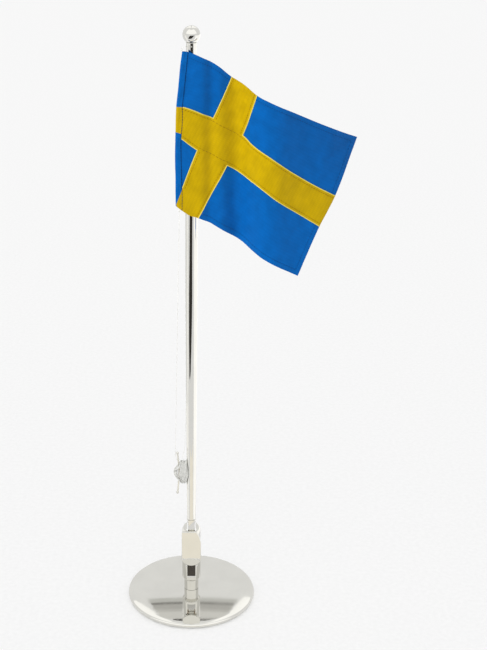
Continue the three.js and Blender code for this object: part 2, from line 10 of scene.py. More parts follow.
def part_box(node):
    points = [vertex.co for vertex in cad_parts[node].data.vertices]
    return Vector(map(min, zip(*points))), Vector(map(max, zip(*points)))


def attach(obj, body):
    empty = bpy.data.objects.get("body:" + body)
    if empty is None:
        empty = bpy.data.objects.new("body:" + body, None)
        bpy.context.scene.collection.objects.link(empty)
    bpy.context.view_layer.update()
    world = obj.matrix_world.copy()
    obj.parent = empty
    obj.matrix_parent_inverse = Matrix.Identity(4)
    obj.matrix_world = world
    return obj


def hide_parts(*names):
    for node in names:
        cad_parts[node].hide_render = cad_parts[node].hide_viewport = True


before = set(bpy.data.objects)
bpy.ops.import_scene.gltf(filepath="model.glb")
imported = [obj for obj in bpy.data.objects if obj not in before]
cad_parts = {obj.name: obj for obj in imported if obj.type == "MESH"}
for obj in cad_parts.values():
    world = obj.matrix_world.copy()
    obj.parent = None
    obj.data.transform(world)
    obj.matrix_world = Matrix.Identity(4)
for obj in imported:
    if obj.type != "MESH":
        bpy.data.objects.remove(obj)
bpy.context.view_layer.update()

bl_info = {
    "name": "Desk Flag Stand",
    "version": (1, 0, 0),
    "blender": (4, 5, 0),
    "location": "3D View > Sidebar > Flag Stand",
    "description": "Builds the fine surfaces and finishes of a folding desk flag stand round its frame",
    "category": "Object",
}

MM = 0.001


def linear(hex_code):
    """A colour written as sRGB hex, as the linear values that shaders use."""
    channels = [int(hex_code[i:i + 2], 16) / 255 for i in (1, 3, 5)]
    return tuple(c / 12.92 if c <= 0.04045 else ((c + 0.055) / 1.055) ** 2.4 for c in channels)


# ---------------------------------------------------------------- sizes read from the frame

def reach(node, axis):
    """Lowest and highest place of a node along an axis, 0 to 2."""
    low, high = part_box(node)
    return low[axis], high[axis]


X, Y, Z = 0, 1, 2
FOOT_RADIUS = reach("base_disc", X)[1]
FOOT_BOTTOM, FOOT_TOP = reach("base_disc", Z)
FORK_RADIUS = reach("hinge_fork", X)[1]
FORK_BOTTOM = reach("hinge_fork", Z)[0]
PLATE_FRONT, PLATE_BACK = reach("stop_plate", Y)
PLATE_BOTTOM, PLATE_TOP = reach("stop_plate", Z)
PLATE_HALF = reach("stop_plate", X)[1]
PIVOT_HEIGHT = sum(reach("pivot_pin", Z)) / 2
PIN_RADIUS = reach("pivot_pin", Y)[1]
PIN_REACH = reach("pivot_pin", X)[1]
TANG_HALF = reach("hinge_tang", X)[1]
TANG_FRONT, TANG_BACK = reach("hinge_tang", Y)
TANG_BOTTOM = reach("hinge_tang", Z)[0]
POLE_BOTTOM = reach("pole_rod", Z)[0]
POLE_BELLY = reach("pole_rod", X)[1]
BALL_RADIUS = reach("finial_ball", X)[1]
BALL_TOP = reach("finial_ball", Z)[1]
POLE_TOP = reach("finial_ball", Z)[0]
CLEAT_LOW, CLEAT_HIGH = reach("cleat", Z)


class FlagStandSizes(bpy.types.PropertyGroup):
    """Sizes that a maker would change without touching the frame."""

    edge_break: bpy.props.FloatProperty(
        name="Edge break", description="Rounding left on a machined edge by polishing",
        default=0.3 * MM, min=0.0, unit="LENGTH")
    rim_rounding: bpy.props.FloatProperty(
        name="Rim rounding", description="Radius of the foot's outer rim",
        default=1.6 * MM, min=0.0, unit="LENGTH")
    cloth_thickness: bpy.props.FloatProperty(
        name="Cloth thickness", description="One layer of satin",
        default=0.22 * MM, min=0.0, unit="LENGTH")
    band_thickness: bpy.props.FloatProperty(
        name="Band thickness", description="The folded strips of the cross",
        default=0.62 * MM, min=0.0, unit="LENGTH")
    stitch_length: bpy.props.FloatProperty(
        name="Stitch length", description="One visible stitch and the gap after it",
        default=1.9 * MM, min=0.0001, unit="LENGTH")
    line_diameter: bpy.props.FloatProperty(
        name="Line diameter", description="Nylon halyard",
        default=0.36 * MM, min=0.0, unit="LENGTH")


class FlagStandColours(bpy.types.PropertyGroup):
    """Colours of the finishes."""

    nickel: bpy.props.FloatVectorProperty(
        name="Nickel", description="Warm white of polished nickel plate",
        subtype="COLOR", default=linear("#dbdad5"), min=0.0, max=1.0)
    blue: bpy.props.FloatVectorProperty(
        name="Blue satin", description="Field of the flag",
        subtype="COLOR", default=linear("#005aa6"), min=0.0, max=1.0)
    yellow: bpy.props.FloatVectorProperty(
        name="Yellow satin", description="Cross of the flag",
        subtype="COLOR", default=linear("#bb9b00"), min=0.0, max=1.0)
    nylon: bpy.props.FloatVectorProperty(
        name="Nylon", description="Clear white line",
        subtype="COLOR", default=linear("#e8e8e4"), min=0.0, max=1.0)
    felt: bpy.props.FloatVectorProperty(
        name="Felt", description="Pad under the foot",
        subtype="COLOR", default=linear("#26262a"), min=0.0, max=1.0)


def sizes():
    return bpy.context.scene.flag_stand_sizes


def colours():
    return bpy.context.scene.flag_stand_colours


# ---------------------------------------------------------------- shader helpers

def add_node(tree, kind, inputs=None, **settings):
    """Adds a node. Inputs are values, or (node, output) pairs to link from."""
    node = tree.nodes.new(kind)
    for name, value in settings.items():
        setattr(node, name, value)
    for name, value in (inputs or {}).items():
        socket = node.inputs[name]
        if isinstance(value, tuple) and isinstance(value[0], bpy.types.Node):
            tree.links.new(value[0].outputs[value[1]], socket)
        else:
            socket.default_value = value
    return node


def made_once(build):
    """Makes a builder of shader nodes into a function that gives its material, made on first use."""

    def give(name=build.__name__, *details):
        material = bpy.data.materials.get(name)
        if material is None:
            material = bpy.data.materials.new(name)
            material.use_nodes = True
            material.node_tree.nodes.clear()
            build(material.node_tree, *details)
        return material

    return give


def finish_material(tree, **inputs):
    """Ends a material in one Principled shader."""
    named = {name.replace("_", " "): value for name, value in inputs.items()}
    shader = add_node(tree, "ShaderNodeBsdfPrincipled", named)
    add_node(tree, "ShaderNodeOutputMaterial", {"Surface": (shader, "BSDF")})
    return shader


def rgba(colour):
    return (*colour, 1.0)


def ramp(tree, source, low, high, stops=(0.0, 1.0)):
    """A colour ramp between two colours, fed by a (node, output) pair."""
    node = add_node(tree, "ShaderNodeValToRGB", {"Fac": source})
    for element, place, colour in zip(node.color_ramp.elements, stops, (low, high)):
        element.position = place
        element.color = rgba(colour)
    return node


def multiply(tree, first, second):
    """Two colour ramps multiplied together."""
    return add_node(tree, "ShaderNodeVectorMath", {
        0: (first, "Color"), 1: (second, "Color")}, operation="MULTIPLY")


def shade(colour, factor):
    return tuple(min(1.0, c * factor) for c in colour)


# ---------------------------------------------------------------- materials

@made_once
def nickel_plate_buffed(tree):
    """Nickel plate over brass, buffed on a wheel: a mirror with a warm tint and faint buffing haze."""
    place = add_node(tree, "ShaderNodeTexCoord")
    # buffing haze drifts over about 15 mm, and the wheel leaves hairlines about 0.4 mm apart
    haze = add_node(tree, "ShaderNodeTexNoise", {
        "Vector": (place, "Object"), "Scale": 1 / (15 * MM), "Detail": 3.0, "Roughness": 0.5})
    stretched = add_node(tree, "ShaderNodeMapping", {
        "Vector": (place, "Object"), "Scale": (1.0, 1.0, 0.08)})
    hairlines = add_node(tree, "ShaderNodeTexNoise", {
        "Vector": (stretched, "Vector"), "Scale": 1 / (0.4 * MM), "Detail": 2.0})
    colour = ramp(tree, (haze, "Fac"), shade(colours().nickel, 0.96), colours().nickel, (0.35, 0.65))
    rough = add_node(tree, "ShaderNodeMapRange", {
        "Value": (haze, "Fac"), "From Min": 0.3, "From Max": 0.7, "To Min": 0.025, "To Max": 0.06})
    bump = add_node(tree, "ShaderNodeBump", {
        "Height": (hairlines, "Fac"), "Strength": 0.012, "Distance": 0.05 * MM})
    finish_material(tree, Base_Color=(colour, "Color"), Metallic=1.0,
                    Roughness=(rough, "Result"), Normal=(bump, "Normal"))


@made_once
def steel_turned(tree):
    """Plain free-cutting steel off the lathe: grey, with fine rings from the tool."""
    place = add_node(tree, "ShaderNodeTexCoord")
    rings = add_node(tree, "ShaderNodeTexWave", {
        "Vector": (place, "Object"), "Scale": 1 / (1.2 * MM) / 6.28, "Distortion": 0.4},
        wave_type="RINGS", rings_direction="Z")
    stain = add_node(tree, "ShaderNodeTexNoise", {"Vector": (place, "Object"), "Scale": 1 / (9 * MM)})
    colour = ramp(tree, (stain, "Fac"), linear("#7d7f80"), linear("#a3a5a6"), (0.35, 0.7))
    bump = add_node(tree, "ShaderNodeBump", {
        "Height": (rings, "Fac"), "Strength": 0.15, "Distance": 0.1 * MM})
    finish_material(tree, Base_Color=(colour, "Color"), Metallic=1.0, Roughness=0.34,
                    Normal=(bump, "Normal"))


@made_once
def phosphor_bronze_rolled(tree):
    """Phosphor bronze strip, rolled and punched: brown gold with a rubbed ring."""
    place = add_node(tree, "ShaderNodeTexCoord")
    rub = add_node(tree, "ShaderNodeTexNoise", {"Vector": (place, "Object"), "Scale": 1 / (1.5 * MM)})
    colour = ramp(tree, (rub, "Fac"), linear("#8f6a3c"), linear("#c29a63"), (0.3, 0.7))
    finish_material(tree, Base_Color=(colour, "Color"), Metallic=1.0, Roughness=0.32)


@made_once
def wool_felt_pressed(tree):
    """Pressed wool felt: matt, with short tangled fibres that catch the light at the edges."""
    place = add_node(tree, "ShaderNodeTexCoord")
    fibres = add_node(tree, "ShaderNodeTexNoise", {
        "Vector": (place, "Object"), "Scale": 1 / (0.5 * MM), "Detail": 6.0, "Distortion": 1.5})
    colour = ramp(tree, (fibres, "Fac"), shade(colours().felt, 0.6), shade(colours().felt, 1.7),
                  (0.3, 0.75))
    bump = add_node(tree, "ShaderNodeBump", {
        "Height": (fibres, "Fac"), "Strength": 0.8, "Distance": 0.3 * MM})
    finish_material(tree, Base_Color=(colour, "Color"), Roughness=0.95, Sheen_Weight=0.4,
                    Sheen_Roughness=0.5, Normal=(bump, "Normal"))


@made_once
def nylon_line(tree, clearness, tone):
    """Drawn nylon line: clear white with a soft gloss, and milkier where many turns lie together."""
    place = add_node(tree, "ShaderNodeTexCoord")
    cloud = add_node(tree, "ShaderNodeTexNoise", {"Vector": (place, "Object"), "Scale": 1 / (2 * MM)})
    colour = ramp(tree, (cloud, "Fac"), shade(colours().nylon, tone - 0.12), shade(colours().nylon, tone),
                  (0.3, 0.7))
    finish_material(tree, Base_Color=(colour, "Color"), Roughness=0.22, IOR=1.08,
                    Transmission_Weight=clearness)


@made_once
def nylon_moulded_painted_dark_reflection(tree):
    """Moulded nylon, painted near black as a painted reflection: the dark tone stands in for the dark
    surroundings reflected in the window below the stop plate. Matt with a faint oily gloss and a fine
    orange-peel skin.
    """
    place = add_node(tree, "ShaderNodeTexCoord")
    skin = add_node(tree, "ShaderNodeTexNoise", {
        "Vector": (place, "Object"), "Scale": 1 / (0.6 * MM), "Detail": 3.0})
    # painted reflection: these near-black tones stand in for the dark window below the stop plate
    colour = ramp(tree, (skin, "Fac"), linear("#1b1712"), linear("#332c22"), (0.3, 0.7))
    bump = add_node(tree, "ShaderNodeBump", {
        "Height": (skin, "Fac"), "Strength": 0.25, "Distance": 0.05 * MM})
    finish_material(tree, Base_Color=(colour, "Color"), Roughness=0.38, Normal=(bump, "Normal"))


@made_once
def satin_woven(tree, colour, warp_angle=0.0):
    """Polyester satin: long floats on the face give a broad sheen, over threads that show close up."""
    # The threads are about 0.15 mm apart; they are drawn at 0.5 mm so that they show.
    thread = 0.5 * MM
    place = add_node(tree, "ShaderNodeTexCoord")
    turned_cut = add_node(tree, "ShaderNodeMapping", {
        "Vector": (place, "UV"), "Rotation": (0.0, 0.0, warp_angle)})
    warp = add_node(tree, "ShaderNodeTexWave", {
        "Vector": (turned_cut, "Vector"), "Scale": 1 / thread / 6.283, "Distortion": 0.6,
        "Detail": 1.0}, wave_type="BANDS", bands_direction="X")
    weft = add_node(tree, "ShaderNodeTexWave", {
        "Vector": (turned_cut, "Vector"), "Scale": 1 / (2.2 * thread) / 6.283, "Distortion": 1.2,
        "Detail": 1.0}, wave_type="BANDS", bands_direction="Y")
    slub = add_node(tree, "ShaderNodeTexNoise", {
        "Vector": (turned_cut, "Vector"), "Scale": 1 / (7 * MM), "Detail": 3.0})
    weave = add_node(tree, "ShaderNodeMath", {
        0: (warp, "Fac"), 1: (weft, "Fac")}, operation="MULTIPLY")
    base = ramp(tree, (slub, "Fac"), shade(colour, 0.88), shade(colour, 1.06), (0.3, 0.7))
    threads = ramp(tree, (weave, "Value"), (0.93, 0.93, 0.93), (1.0, 1.0, 1.0), (0.0, 0.5))
    woven = multiply(tree, base, threads)
    bump = add_node(tree, "ShaderNodeBump", {
        "Height": (weave, "Value"), "Strength": 0.1, "Distance": 0.08 * MM})
    shader = finish_material(tree, Base_Color=(woven, "Vector"), Roughness=0.5, Sheen_Weight=0.05,
                             Sheen_Roughness=0.4, Specular_IOR_Level=0.05, Normal=(bump, "Normal"))
    shader.inputs["Sheen Tint"].default_value = rgba(shade(colour, 1.6))


@made_once
def thread_twisted(tree, colour):
    """Sewing thread, twisted: a touch darker and glossier than the cloth, with its twist in the bump."""
    place = add_node(tree, "ShaderNodeTexCoord")
    twist = add_node(tree, "ShaderNodeTexWave", {
        "Vector": (place, "Object"), "Scale": 1 / (0.5 * MM) / 6.28, "Distortion": 0.5},
        wave_type="BANDS", bands_direction="DIAGONAL")
    tone = ramp(tree, (twist, "Fac"), shade(colour, 0.75), colour)
    bump = add_node(tree, "ShaderNodeBump", {
        "Height": (twist, "Fac"), "Strength": 0.4, "Distance": 0.05 * MM})
    finish_material(tree, Base_Color=(tone, "Color"), Roughness=0.6, Specular_IOR_Level=0.1,
                    Normal=(bump, "Normal"))


@made_once
def studio_paper_matt(tree):
    """White studio paper: matt, with the faintest tooth."""
    place = add_node(tree, "ShaderNodeTexCoord")
    tooth = add_node(tree, "ShaderNodeTexNoise", {"Vector": (place, "Object"), "Scale": 1 / (3 * MM)})
    colour = ramp(tree, (tooth, "Fac"), linear("#f3f3f3"), linear("#f7f7f7"), (0.3, 0.7))
    finish_material(tree, Base_Color=(colour, "Color"), Roughness=0.9, Specular_IOR_Level=0.0)


# ---------------------------------------------------------------- mesh helpers

def smooth_shading(mesh, angle=35):
    """Smooth shading that keeps edges sharper than an angle in degrees."""
    for polygon in mesh.polygons:
        polygon.use_smooth = True
    mesh.set_sharp_from_angle(angle=math.radians(angle))


def object_from(name, bm, material):
    """A new object from a bmesh, in the scene, with its material."""
    bmesh.ops.recalc_face_normals(bm, faces=bm.faces)
    mesh = bpy.data.meshes.new(name)
    bm.to_mesh(mesh)
    bm.free()
    mesh.materials.append(material)
    made = bpy.data.objects.new(name, mesh)
    bpy.context.scene.collection.objects.link(made)
    smooth_shading(mesh)
    return made


def place_piece(piece, body, slot, *nodes):
    """Puts a finished piece on its body, in place of CAD nodes."""
    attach(piece, body)
    if nodes:
        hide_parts(*nodes)
    return piece


def apply_modifiers(piece):
    """Applies every modifier, in order."""
    bpy.context.view_layer.update()
    evaluated = piece.evaluated_get(bpy.context.evaluated_depsgraph_get())
    mesh = bpy.data.meshes.new_from_object(evaluated)
    piece.modifiers.clear()
    old = piece.data
    piece.data = mesh
    bpy.data.meshes.remove(old)
    smooth_shading(piece.data)


def cut(piece, cutters, operation="DIFFERENCE"):
    """Cuts helper objects out of a piece, or joins them to it, and removes them."""
    for cutter in cutters:
        boolean = piece.modifiers.new("cut", "BOOLEAN")
        boolean.operation = operation
        boolean.solver = "EXACT"
        boolean.object = cutter
    apply_modifiers(piece)
    for cutter in cutters:
        bpy.data.objects.remove(cutter)


def break_edges(piece, width, angle=40, segments=3):
    """Rounds the sharp edges that polishing would break."""
    bevel = piece.modifiers.new("edges", "BEVEL")
    bevel.width = width
    bevel.segments = segments
    bevel.limit_method = "ANGLE"
    bevel.angle_limit = math.radians(angle)
    apply_modifiers(piece)


def arc(centre, radius, start, end, steps):
    """Points on an arc, angles in degrees."""
    points = []
    for i in range(steps + 1):
        angle = math.radians(start + (end - start) * i / steps)
        points.append((centre[0] + radius * math.cos(angle), centre[1] + radius * math.sin(angle)))
    return points


def spin(profile, steps=128, closed=False):
    """A turned bmesh about Z from (radius, height) points; points on the axis become one vertex."""
    bm = bmesh.new()
    rings = []
    for radius, height in profile:
        if radius < 1e-7:
            rings.append([bm.verts.new((0, 0, height))])
            continue
        angles = [2 * math.pi * k / steps for k in range(steps)]
        rings.append([bm.verts.new((radius * math.cos(a), radius * math.sin(a), height)) for a in angles])
    pairs = list(zip(rings, rings[1:]))
    if closed:
        pairs.append((rings[-1], rings[0]))
    for low, high in pairs:
        for k in range(steps):
            n = (k + 1) % steps
            corners = [low[k % len(low)], low[n % len(low)], high[n % len(high)], high[k % len(high)]]
            corners = list(dict.fromkeys(corners))
            if len(corners) > 2:
                bm.faces.new(corners)
    return bm


def prism(outline, low, high, axis):
    """A bmesh of a flat outline drawn along the other two axes and extruded along one."""
    bm = bmesh.new()

    def corner(point, place):
        values = list(point)
        values.insert(axis, place)
        return bm.verts.new(values)

    bottom = [corner(point, low) for point in outline]
    top = [corner(point, high) for point in outline]
    bm.faces.new(bottom)
    bm.faces.new(top)
    for i, start in enumerate(bottom):
        j = (i + 1) % len(bottom)
        bm.faces.new((start, bottom[j], top[j], top[i]))
    return bm


def smooth_path(points, per_span):
    """A curve through points (Catmull-Rom), with so many steps in each span."""
    route = [Vector(p) for p in points]
    padded = [2 * route[0] - route[1], *route, 2 * route[-1] - route[-2]]
    out = []
    for i in range(len(route) - 1):
        a, b, c, d = padded[i:i + 4]
        for k in range(per_span):
            t = k / per_span
            out.append(0.5 * ((2 * b) + (c - a) * t + (2 * a - 5 * b + 4 * c - d) * t ** 2
                              + (3 * b - a - 3 * c + d) * t ** 3))
    out.append(route[-1])
    return out


def skin(bm, rows, closed):
    """Adds faces between neighbouring rows of vertices. Closed rows run round a tube."""
    count = len(rows[0])
    for near, far in zip(rows, rows[1:]):
        for k in range(count if closed else count - 1):
            n = (k + 1) % count
            bm.faces.new((near[k], near[n], far[n], far[k]))


def sweep(bm, path, radius, sides=8):
    """Adds a round tube along a path, its ends closed."""
    count = len(path)
    side = Vector((0, 0, 1)) if abs((path[1] - path[0]).normalized().z) < 0.9 else Vector((1, 0, 0))
    rings = []
    for i, point in enumerate(path):
        ahead = (path[min(i + 1, count - 1)] - path[max(i - 1, 0)]).normalized()
        side = (side - side.dot(ahead) * ahead).normalized()
        other = ahead.cross(side)
        rings.append([
            bm.verts.new(point + radius * (math.cos(a) * side + math.sin(a) * other))
            for a in (2 * math.pi * k / sides for k in range(sides))])
    skin(bm, rings, closed=True)
    bm.faces.new(reversed(rings[0]))
    bm.faces.new(rings[-1])


def rod_cutter(radius, start, end, steps=48):
    """A plain cylinder between two points, as a cutting tool."""
    bm = bmesh.new()
    sweep(bm, [Vector(start), Vector(end)], radius, steps)
    return object_from("cutter", bm, nickel_plate_buffed())


def block_cutter(low, high):
    """A box between two corners, as a cutting tool."""
    outline = [(low[0], low[1]), (high[0], low[1]), (high[0], high[1]), (low[0], high[1])]
    return object_from("cutter", prism(outline, low[2], high[2], Z), nickel_plate_buffed())


def dress(node, material):
    """Gives a CAD node that keeps its shape a better finish."""
    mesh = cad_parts[node].data
    mesh.materials.clear()
    mesh.materials.append(material)


# ---------------------------------------------------------------- foot, fork and hinge

DOME_DROP = 1.3 * MM  # how far the foot's dome falls towards its rim
SHELL_WALL = 1.3 * MM
STEM_RADIUS = 5.0 * MM
STEM_TOP = 12.6 * MM
FORK_SHOULDER = 14.4 * MM
FORK_TOP = 57.0 * MM
SLOT_HALF = 2.9 * MM
SLOT_BOTTOM = 16.5 * MM
PLATE_END_RADIUS = 7.1 * MM
CLEARANCE = 0.1 * MM
BORE = 1.8 * MM
SCREW_BORE_TOP = 11.2 * MM


def dome_height(radius):
    """Height of the foot's outer face at a radius."""
    return FOOT_TOP - DOME_DROP * (radius / FOOT_RADIUS) ** 2


class FLAGSTAND_OT_foot(bpy.types.Operator):
    """Build the spun foot with its rounded rim, and finish what is under it"""
    bl_idname = "flagstand.foot"
    bl_label = "Foot"

    def execute(self, context):
        rounding = sizes().rim_rounding
        flat_edge = FOOT_RADIUS - rounding
        rim_height = dome_height(FOOT_RADIUS) - rounding
        steps = 40
        outer = [(r, dome_height(r)) for r in (BORE + (flat_edge - BORE) * i / steps for i in range(steps))]
        rim = arc((flat_edge, rim_height), rounding, 88, 0, 14)
        lip = [
            (FOOT_RADIUS - 0.1 * MM, FOOT_BOTTOM + 1.1 * MM),
            (FOOT_RADIUS - 0.35 * MM, FOOT_BOTTOM + 0.35 * MM),
            (FOOT_RADIUS - 0.8 * MM, FOOT_BOTTOM),
            (FOOT_RADIUS - SHELL_WALL, FOOT_BOTTOM + 0.05 * MM),
        ]
        inside = FOOT_RADIUS - SHELL_WALL - 1 * MM
        under = [(r, dome_height(r) - SHELL_WALL)
                 for r in (inside + (BORE - inside) * i / 12 for i in range(13))]
        foot = object_from("foot_shell", spin([*outer, *rim, *lip, *under], 256, closed=True),
                           nickel_plate_buffed())
        place_piece(foot, "stand", "polished_nickel", "base_disc")
        dress("felt_pad", wool_felt_pressed())
        dress("ballast_weight", steel_turned())
        dress("base_screw", steel_turned())
        return {"FINISHED"}


class FLAGSTAND_OT_fork(bpy.types.Operator):
    """Build the round stem and its fork, with the pin that goes through its cheeks"""
    bl_idname = "flagstand.fork"
    bl_label = "Fork"

    def execute(self, context):
        profile = [
            (0, FORK_BOTTOM),
            (STEM_RADIUS, FORK_BOTTOM),
            (STEM_RADIUS, STEM_TOP),
            (FORK_RADIUS - 0.3 * MM, FORK_SHOULDER - 0.6 * MM),
            (FORK_RADIUS, FORK_SHOULDER),
            (FORK_RADIUS, FORK_SHOULDER + 10 * MM),
            *arc((0, FORK_TOP - FORK_RADIUS), FORK_RADIUS, 0, 88, 24),
            (0, FORK_TOP),
        ]
        fork = object_from("fork", spin(profile, 96), nickel_plate_buffed())
        far = 12 * MM
        cut(fork, [
            block_cutter((-SLOT_HALF, -far, SLOT_BOTTOM), (SLOT_HALF, far, FORK_TOP + far)),
            block_cutter((-far, -far, PLATE_BOTTOM - CLEARANCE),
                         (far, PLATE_BACK + CLEARANCE, FORK_TOP + far)),
            rod_cutter(PIN_RADIUS + CLEARANCE, (-far, 0, PIVOT_HEIGHT), (far, 0, PIVOT_HEIGHT)),
            rod_cutter(BORE - CLEARANCE, (0, 0, 0), (0, 0, SCREW_BORE_TOP)),
        ])
        break_edges(fork, sizes().edge_break)
        place_piece(fork, "stand", "polished_nickel", "hinge_fork")

        chamfer = 0.25 * MM
        pin_profile = [
            (0, -PIN_REACH), (PIN_RADIUS - chamfer, -PIN_REACH), (PIN_RADIUS, -PIN_REACH + chamfer),
            (PIN_RADIUS, PIN_REACH - chamfer), (PIN_RADIUS - chamfer, PIN_REACH), (0, PIN_REACH),
        ]
        bm = spin(pin_profile, 48)
        bmesh.ops.transform(bm, verts=bm.verts, matrix=Matrix.Translation((0, 0, PIVOT_HEIGHT))
                            @ Matrix.Rotation(math.pi / 2, 4, "Y"))
        pin = object_from("hinge_pin", bm, steel_turned())
        place_piece(pin, "stand", "plain_steel", "pivot_pin")
        # the pad's near-black colour is a painted reflection of the dark surroundings seen in the window
        # below the stop plate
        dress("friction_pad", nylon_moulded_painted_dark_reflection())
        # kept out of reflections, because the foot would mirror it as a second hole
        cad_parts["friction_pad"].visible_glossy = False
        dress("friction_washer_left", phosphor_bronze_rolled())
        dress("friction_washer_right", phosphor_bronze_rolled())
        return {"FINISHED"}


class FLAGSTAND_OT_plate(bpy.types.Operator):
    """Build the flat stop plate on the front of the fork"""
    bl_idname = "flagstand.plate"
    bl_label = "Stop plate"

    def execute(self, context):
        centre = PLATE_BOTTOM + PLATE_END_RADIUS
        end = math.degrees(math.acos(PLATE_HALF / PLATE_END_RADIUS))
        outline = [
            *arc((0, centre), PLATE_END_RADIUS, 180 + end, 360 - end, 32),
            # the right shoulder is cut away in two long flats, the left one only blunted
            (PLATE_HALF, PLATE_TOP - 8.2 * MM),
            (PLATE_HALF - 1.3 * MM, PLATE_TOP - 3.4 * MM),
            (PLATE_HALF - 3 * MM, PLATE_TOP),
            (-PLATE_HALF + 0.5 * MM, PLATE_TOP),
            (-PLATE_HALF, PLATE_TOP - 0.6 * MM),
        ]
        plate = object_from("stop_plate_face", prism(outline, PLATE_FRONT, PLATE_BACK, Y),
                            nickel_plate_buffed())
        break_edges(plate, 1.2 * sizes().edge_break, angle=30, segments=4)
        place_piece(plate, "stand", "polished_nickel", "stop_plate")
        return {"FINISHED"}


# ---------------------------------------------------------------- pole

BELLY_HEIGHT = 262 * MM
FOOT_OF_POLE_RADIUS = 3.0 * MM
HEAD_OF_POLE_RADIUS = 3.2 * MM
TANG_TOP = 60 * MM
SPIGOT_RADIUS = 1.5 * MM
SPIGOT_LENGTH = 9 * MM
BALL_CENTRE = BALL_TOP - BALL_RADIUS
LINE_HOLE_HEIGHT = 382 * MM
LINE_HOLE_RADIUS = 0.45 * MM
POST_HEIGHTS = (92 * MM, 99 * MM)
POST_RADIUS = 0.9 * MM
POST_HOLE_END = 1.2 * MM  # how near the pole's axis the holes for the cleat's posts end
PAST_POLE = 9 * MM  # far enough from the axis for a drill to start outside the pole


def pole_radius(height):
    """The slim pole swells a little towards its belly."""
    below = height < BELLY_HEIGHT
    end_radius = FOOT_OF_POLE_RADIUS if below else HEAD_OF_POLE_RADIUS
    end = TANG_TOP if below else POLE_TOP
    way = (height - BELLY_HEIGHT) / (end - BELLY_HEIGHT)
    return POLE_BELLY + (end_radius - POLE_BELLY) * max(0.0, way) ** 1.6


class FLAGSTAND_OT_pole(bpy.types.Operator):
    """Build the turned pole, the tongue that it folds on and its ball"""
    bl_idname = "flagstand.pole"
    bl_label = "Pole"

    def execute(self, context):
        steps = 90
        top = POLE_TOP - CLEARANCE
        rim = 0.3 * MM  # short rings at both ends keep the broken edge's shading off the pole
        heights = [lerp(POLE_BOTTOM + rim, top - rim, i / steps) for i in range(steps + 1)]
        heights = [POLE_BOTTOM, *heights, top]
        profile = [(0, POLE_BOTTOM), *[(pole_radius(h), h) for h in heights], (0, top)]
        pole = object_from("pole", spin(profile, 96), nickel_plate_buffed())
        break_edges(pole, 0.12 * MM, segments=2)
        cut(pole, [
            rod_cutter(LINE_HOLE_RADIUS, (0, -PAST_POLE, LINE_HOLE_HEIGHT),
                       (0, PAST_POLE, LINE_HOLE_HEIGHT), 32),
            rod_cutter(SPIGOT_RADIUS + CLEARANCE, (0, 0, TANG_TOP - 10 * MM),
                       (0, 0, TANG_TOP + SPIGOT_LENGTH + 1 * MM)),
            *[rod_cutter(POST_RADIUS + CLEARANCE, (-PAST_POLE, 0, h), (-POST_HOLE_END, 0, h), 32)
              for h in POST_HEIGHTS],
        ])
        place_piece(pole, "pole", "polished_nickel", "pole_rod")

        seat = math.degrees(math.asin((POLE_TOP - BALL_CENTRE) / BALL_RADIUS))
        ball_profile = [
            (0, POLE_TOP),
            *arc((0, BALL_CENTRE), BALL_RADIUS, seat, 88, 48),
            (0, BALL_TOP),
        ]
        ball = object_from("ball", spin(ball_profile, 96), nickel_plate_buffed())
        place_piece(ball, "pole", "polished_nickel", "finial_ball")

        end_radius = PIVOT_HEIGHT - TANG_BOTTOM
        outline = [
            *arc((0, PIVOT_HEIGHT), end_radius, 180, 360, 32),
            (TANG_BACK, PIVOT_HEIGHT + 4 * MM),
            (TANG_BACK, TANG_TOP),
            (-FOOT_OF_POLE_RADIUS, TANG_TOP),
            (-FOOT_OF_POLE_RADIUS, FORK_TOP - 2 * MM),
            (TANG_FRONT, PLATE_TOP - 2.5 * MM),
            (TANG_FRONT, PIVOT_HEIGHT + 5 * MM),
        ]
        tang = object_from("tongue", prism(outline, -TANG_HALF, TANG_HALF, X), nickel_plate_buffed())
        cut(tang, [rod_cutter(PIN_RADIUS + CLEARANCE, (-PAST_POLE, 0, PIVOT_HEIGHT),
                              (PAST_POLE, 0, PIVOT_HEIGHT))])
        spigot = rod_cutter(SPIGOT_RADIUS, (0, 0, TANG_TOP - 1 * MM), (0, 0, TANG_TOP + SPIGOT_LENGTH))
        cut(tang, [spigot], "UNION")
        # a round collar carries the pole's shape down to the fork
        collar = rod_cutter(FOOT_OF_POLE_RADIUS, (0, 0, FORK_TOP + 0.5 * MM),
                            (0, 0, TANG_TOP - CLEARANCE / 2), 96)
        cut(tang, [collar], "UNION")
        break_edges(tang, 0.5 * sizes().edge_break)
        place_piece(tang, "pole", "polished_nickel", "hinge_tang")
        return {"FINISHED"}


# ---------------------------------------------------------------- cleat and line

CLEAT_X = -8.3 * MM
HORN_X = -9.4 * MM
BAR_RADIUS = 0.65 * MM
HORN_BALL = 1.05 * MM


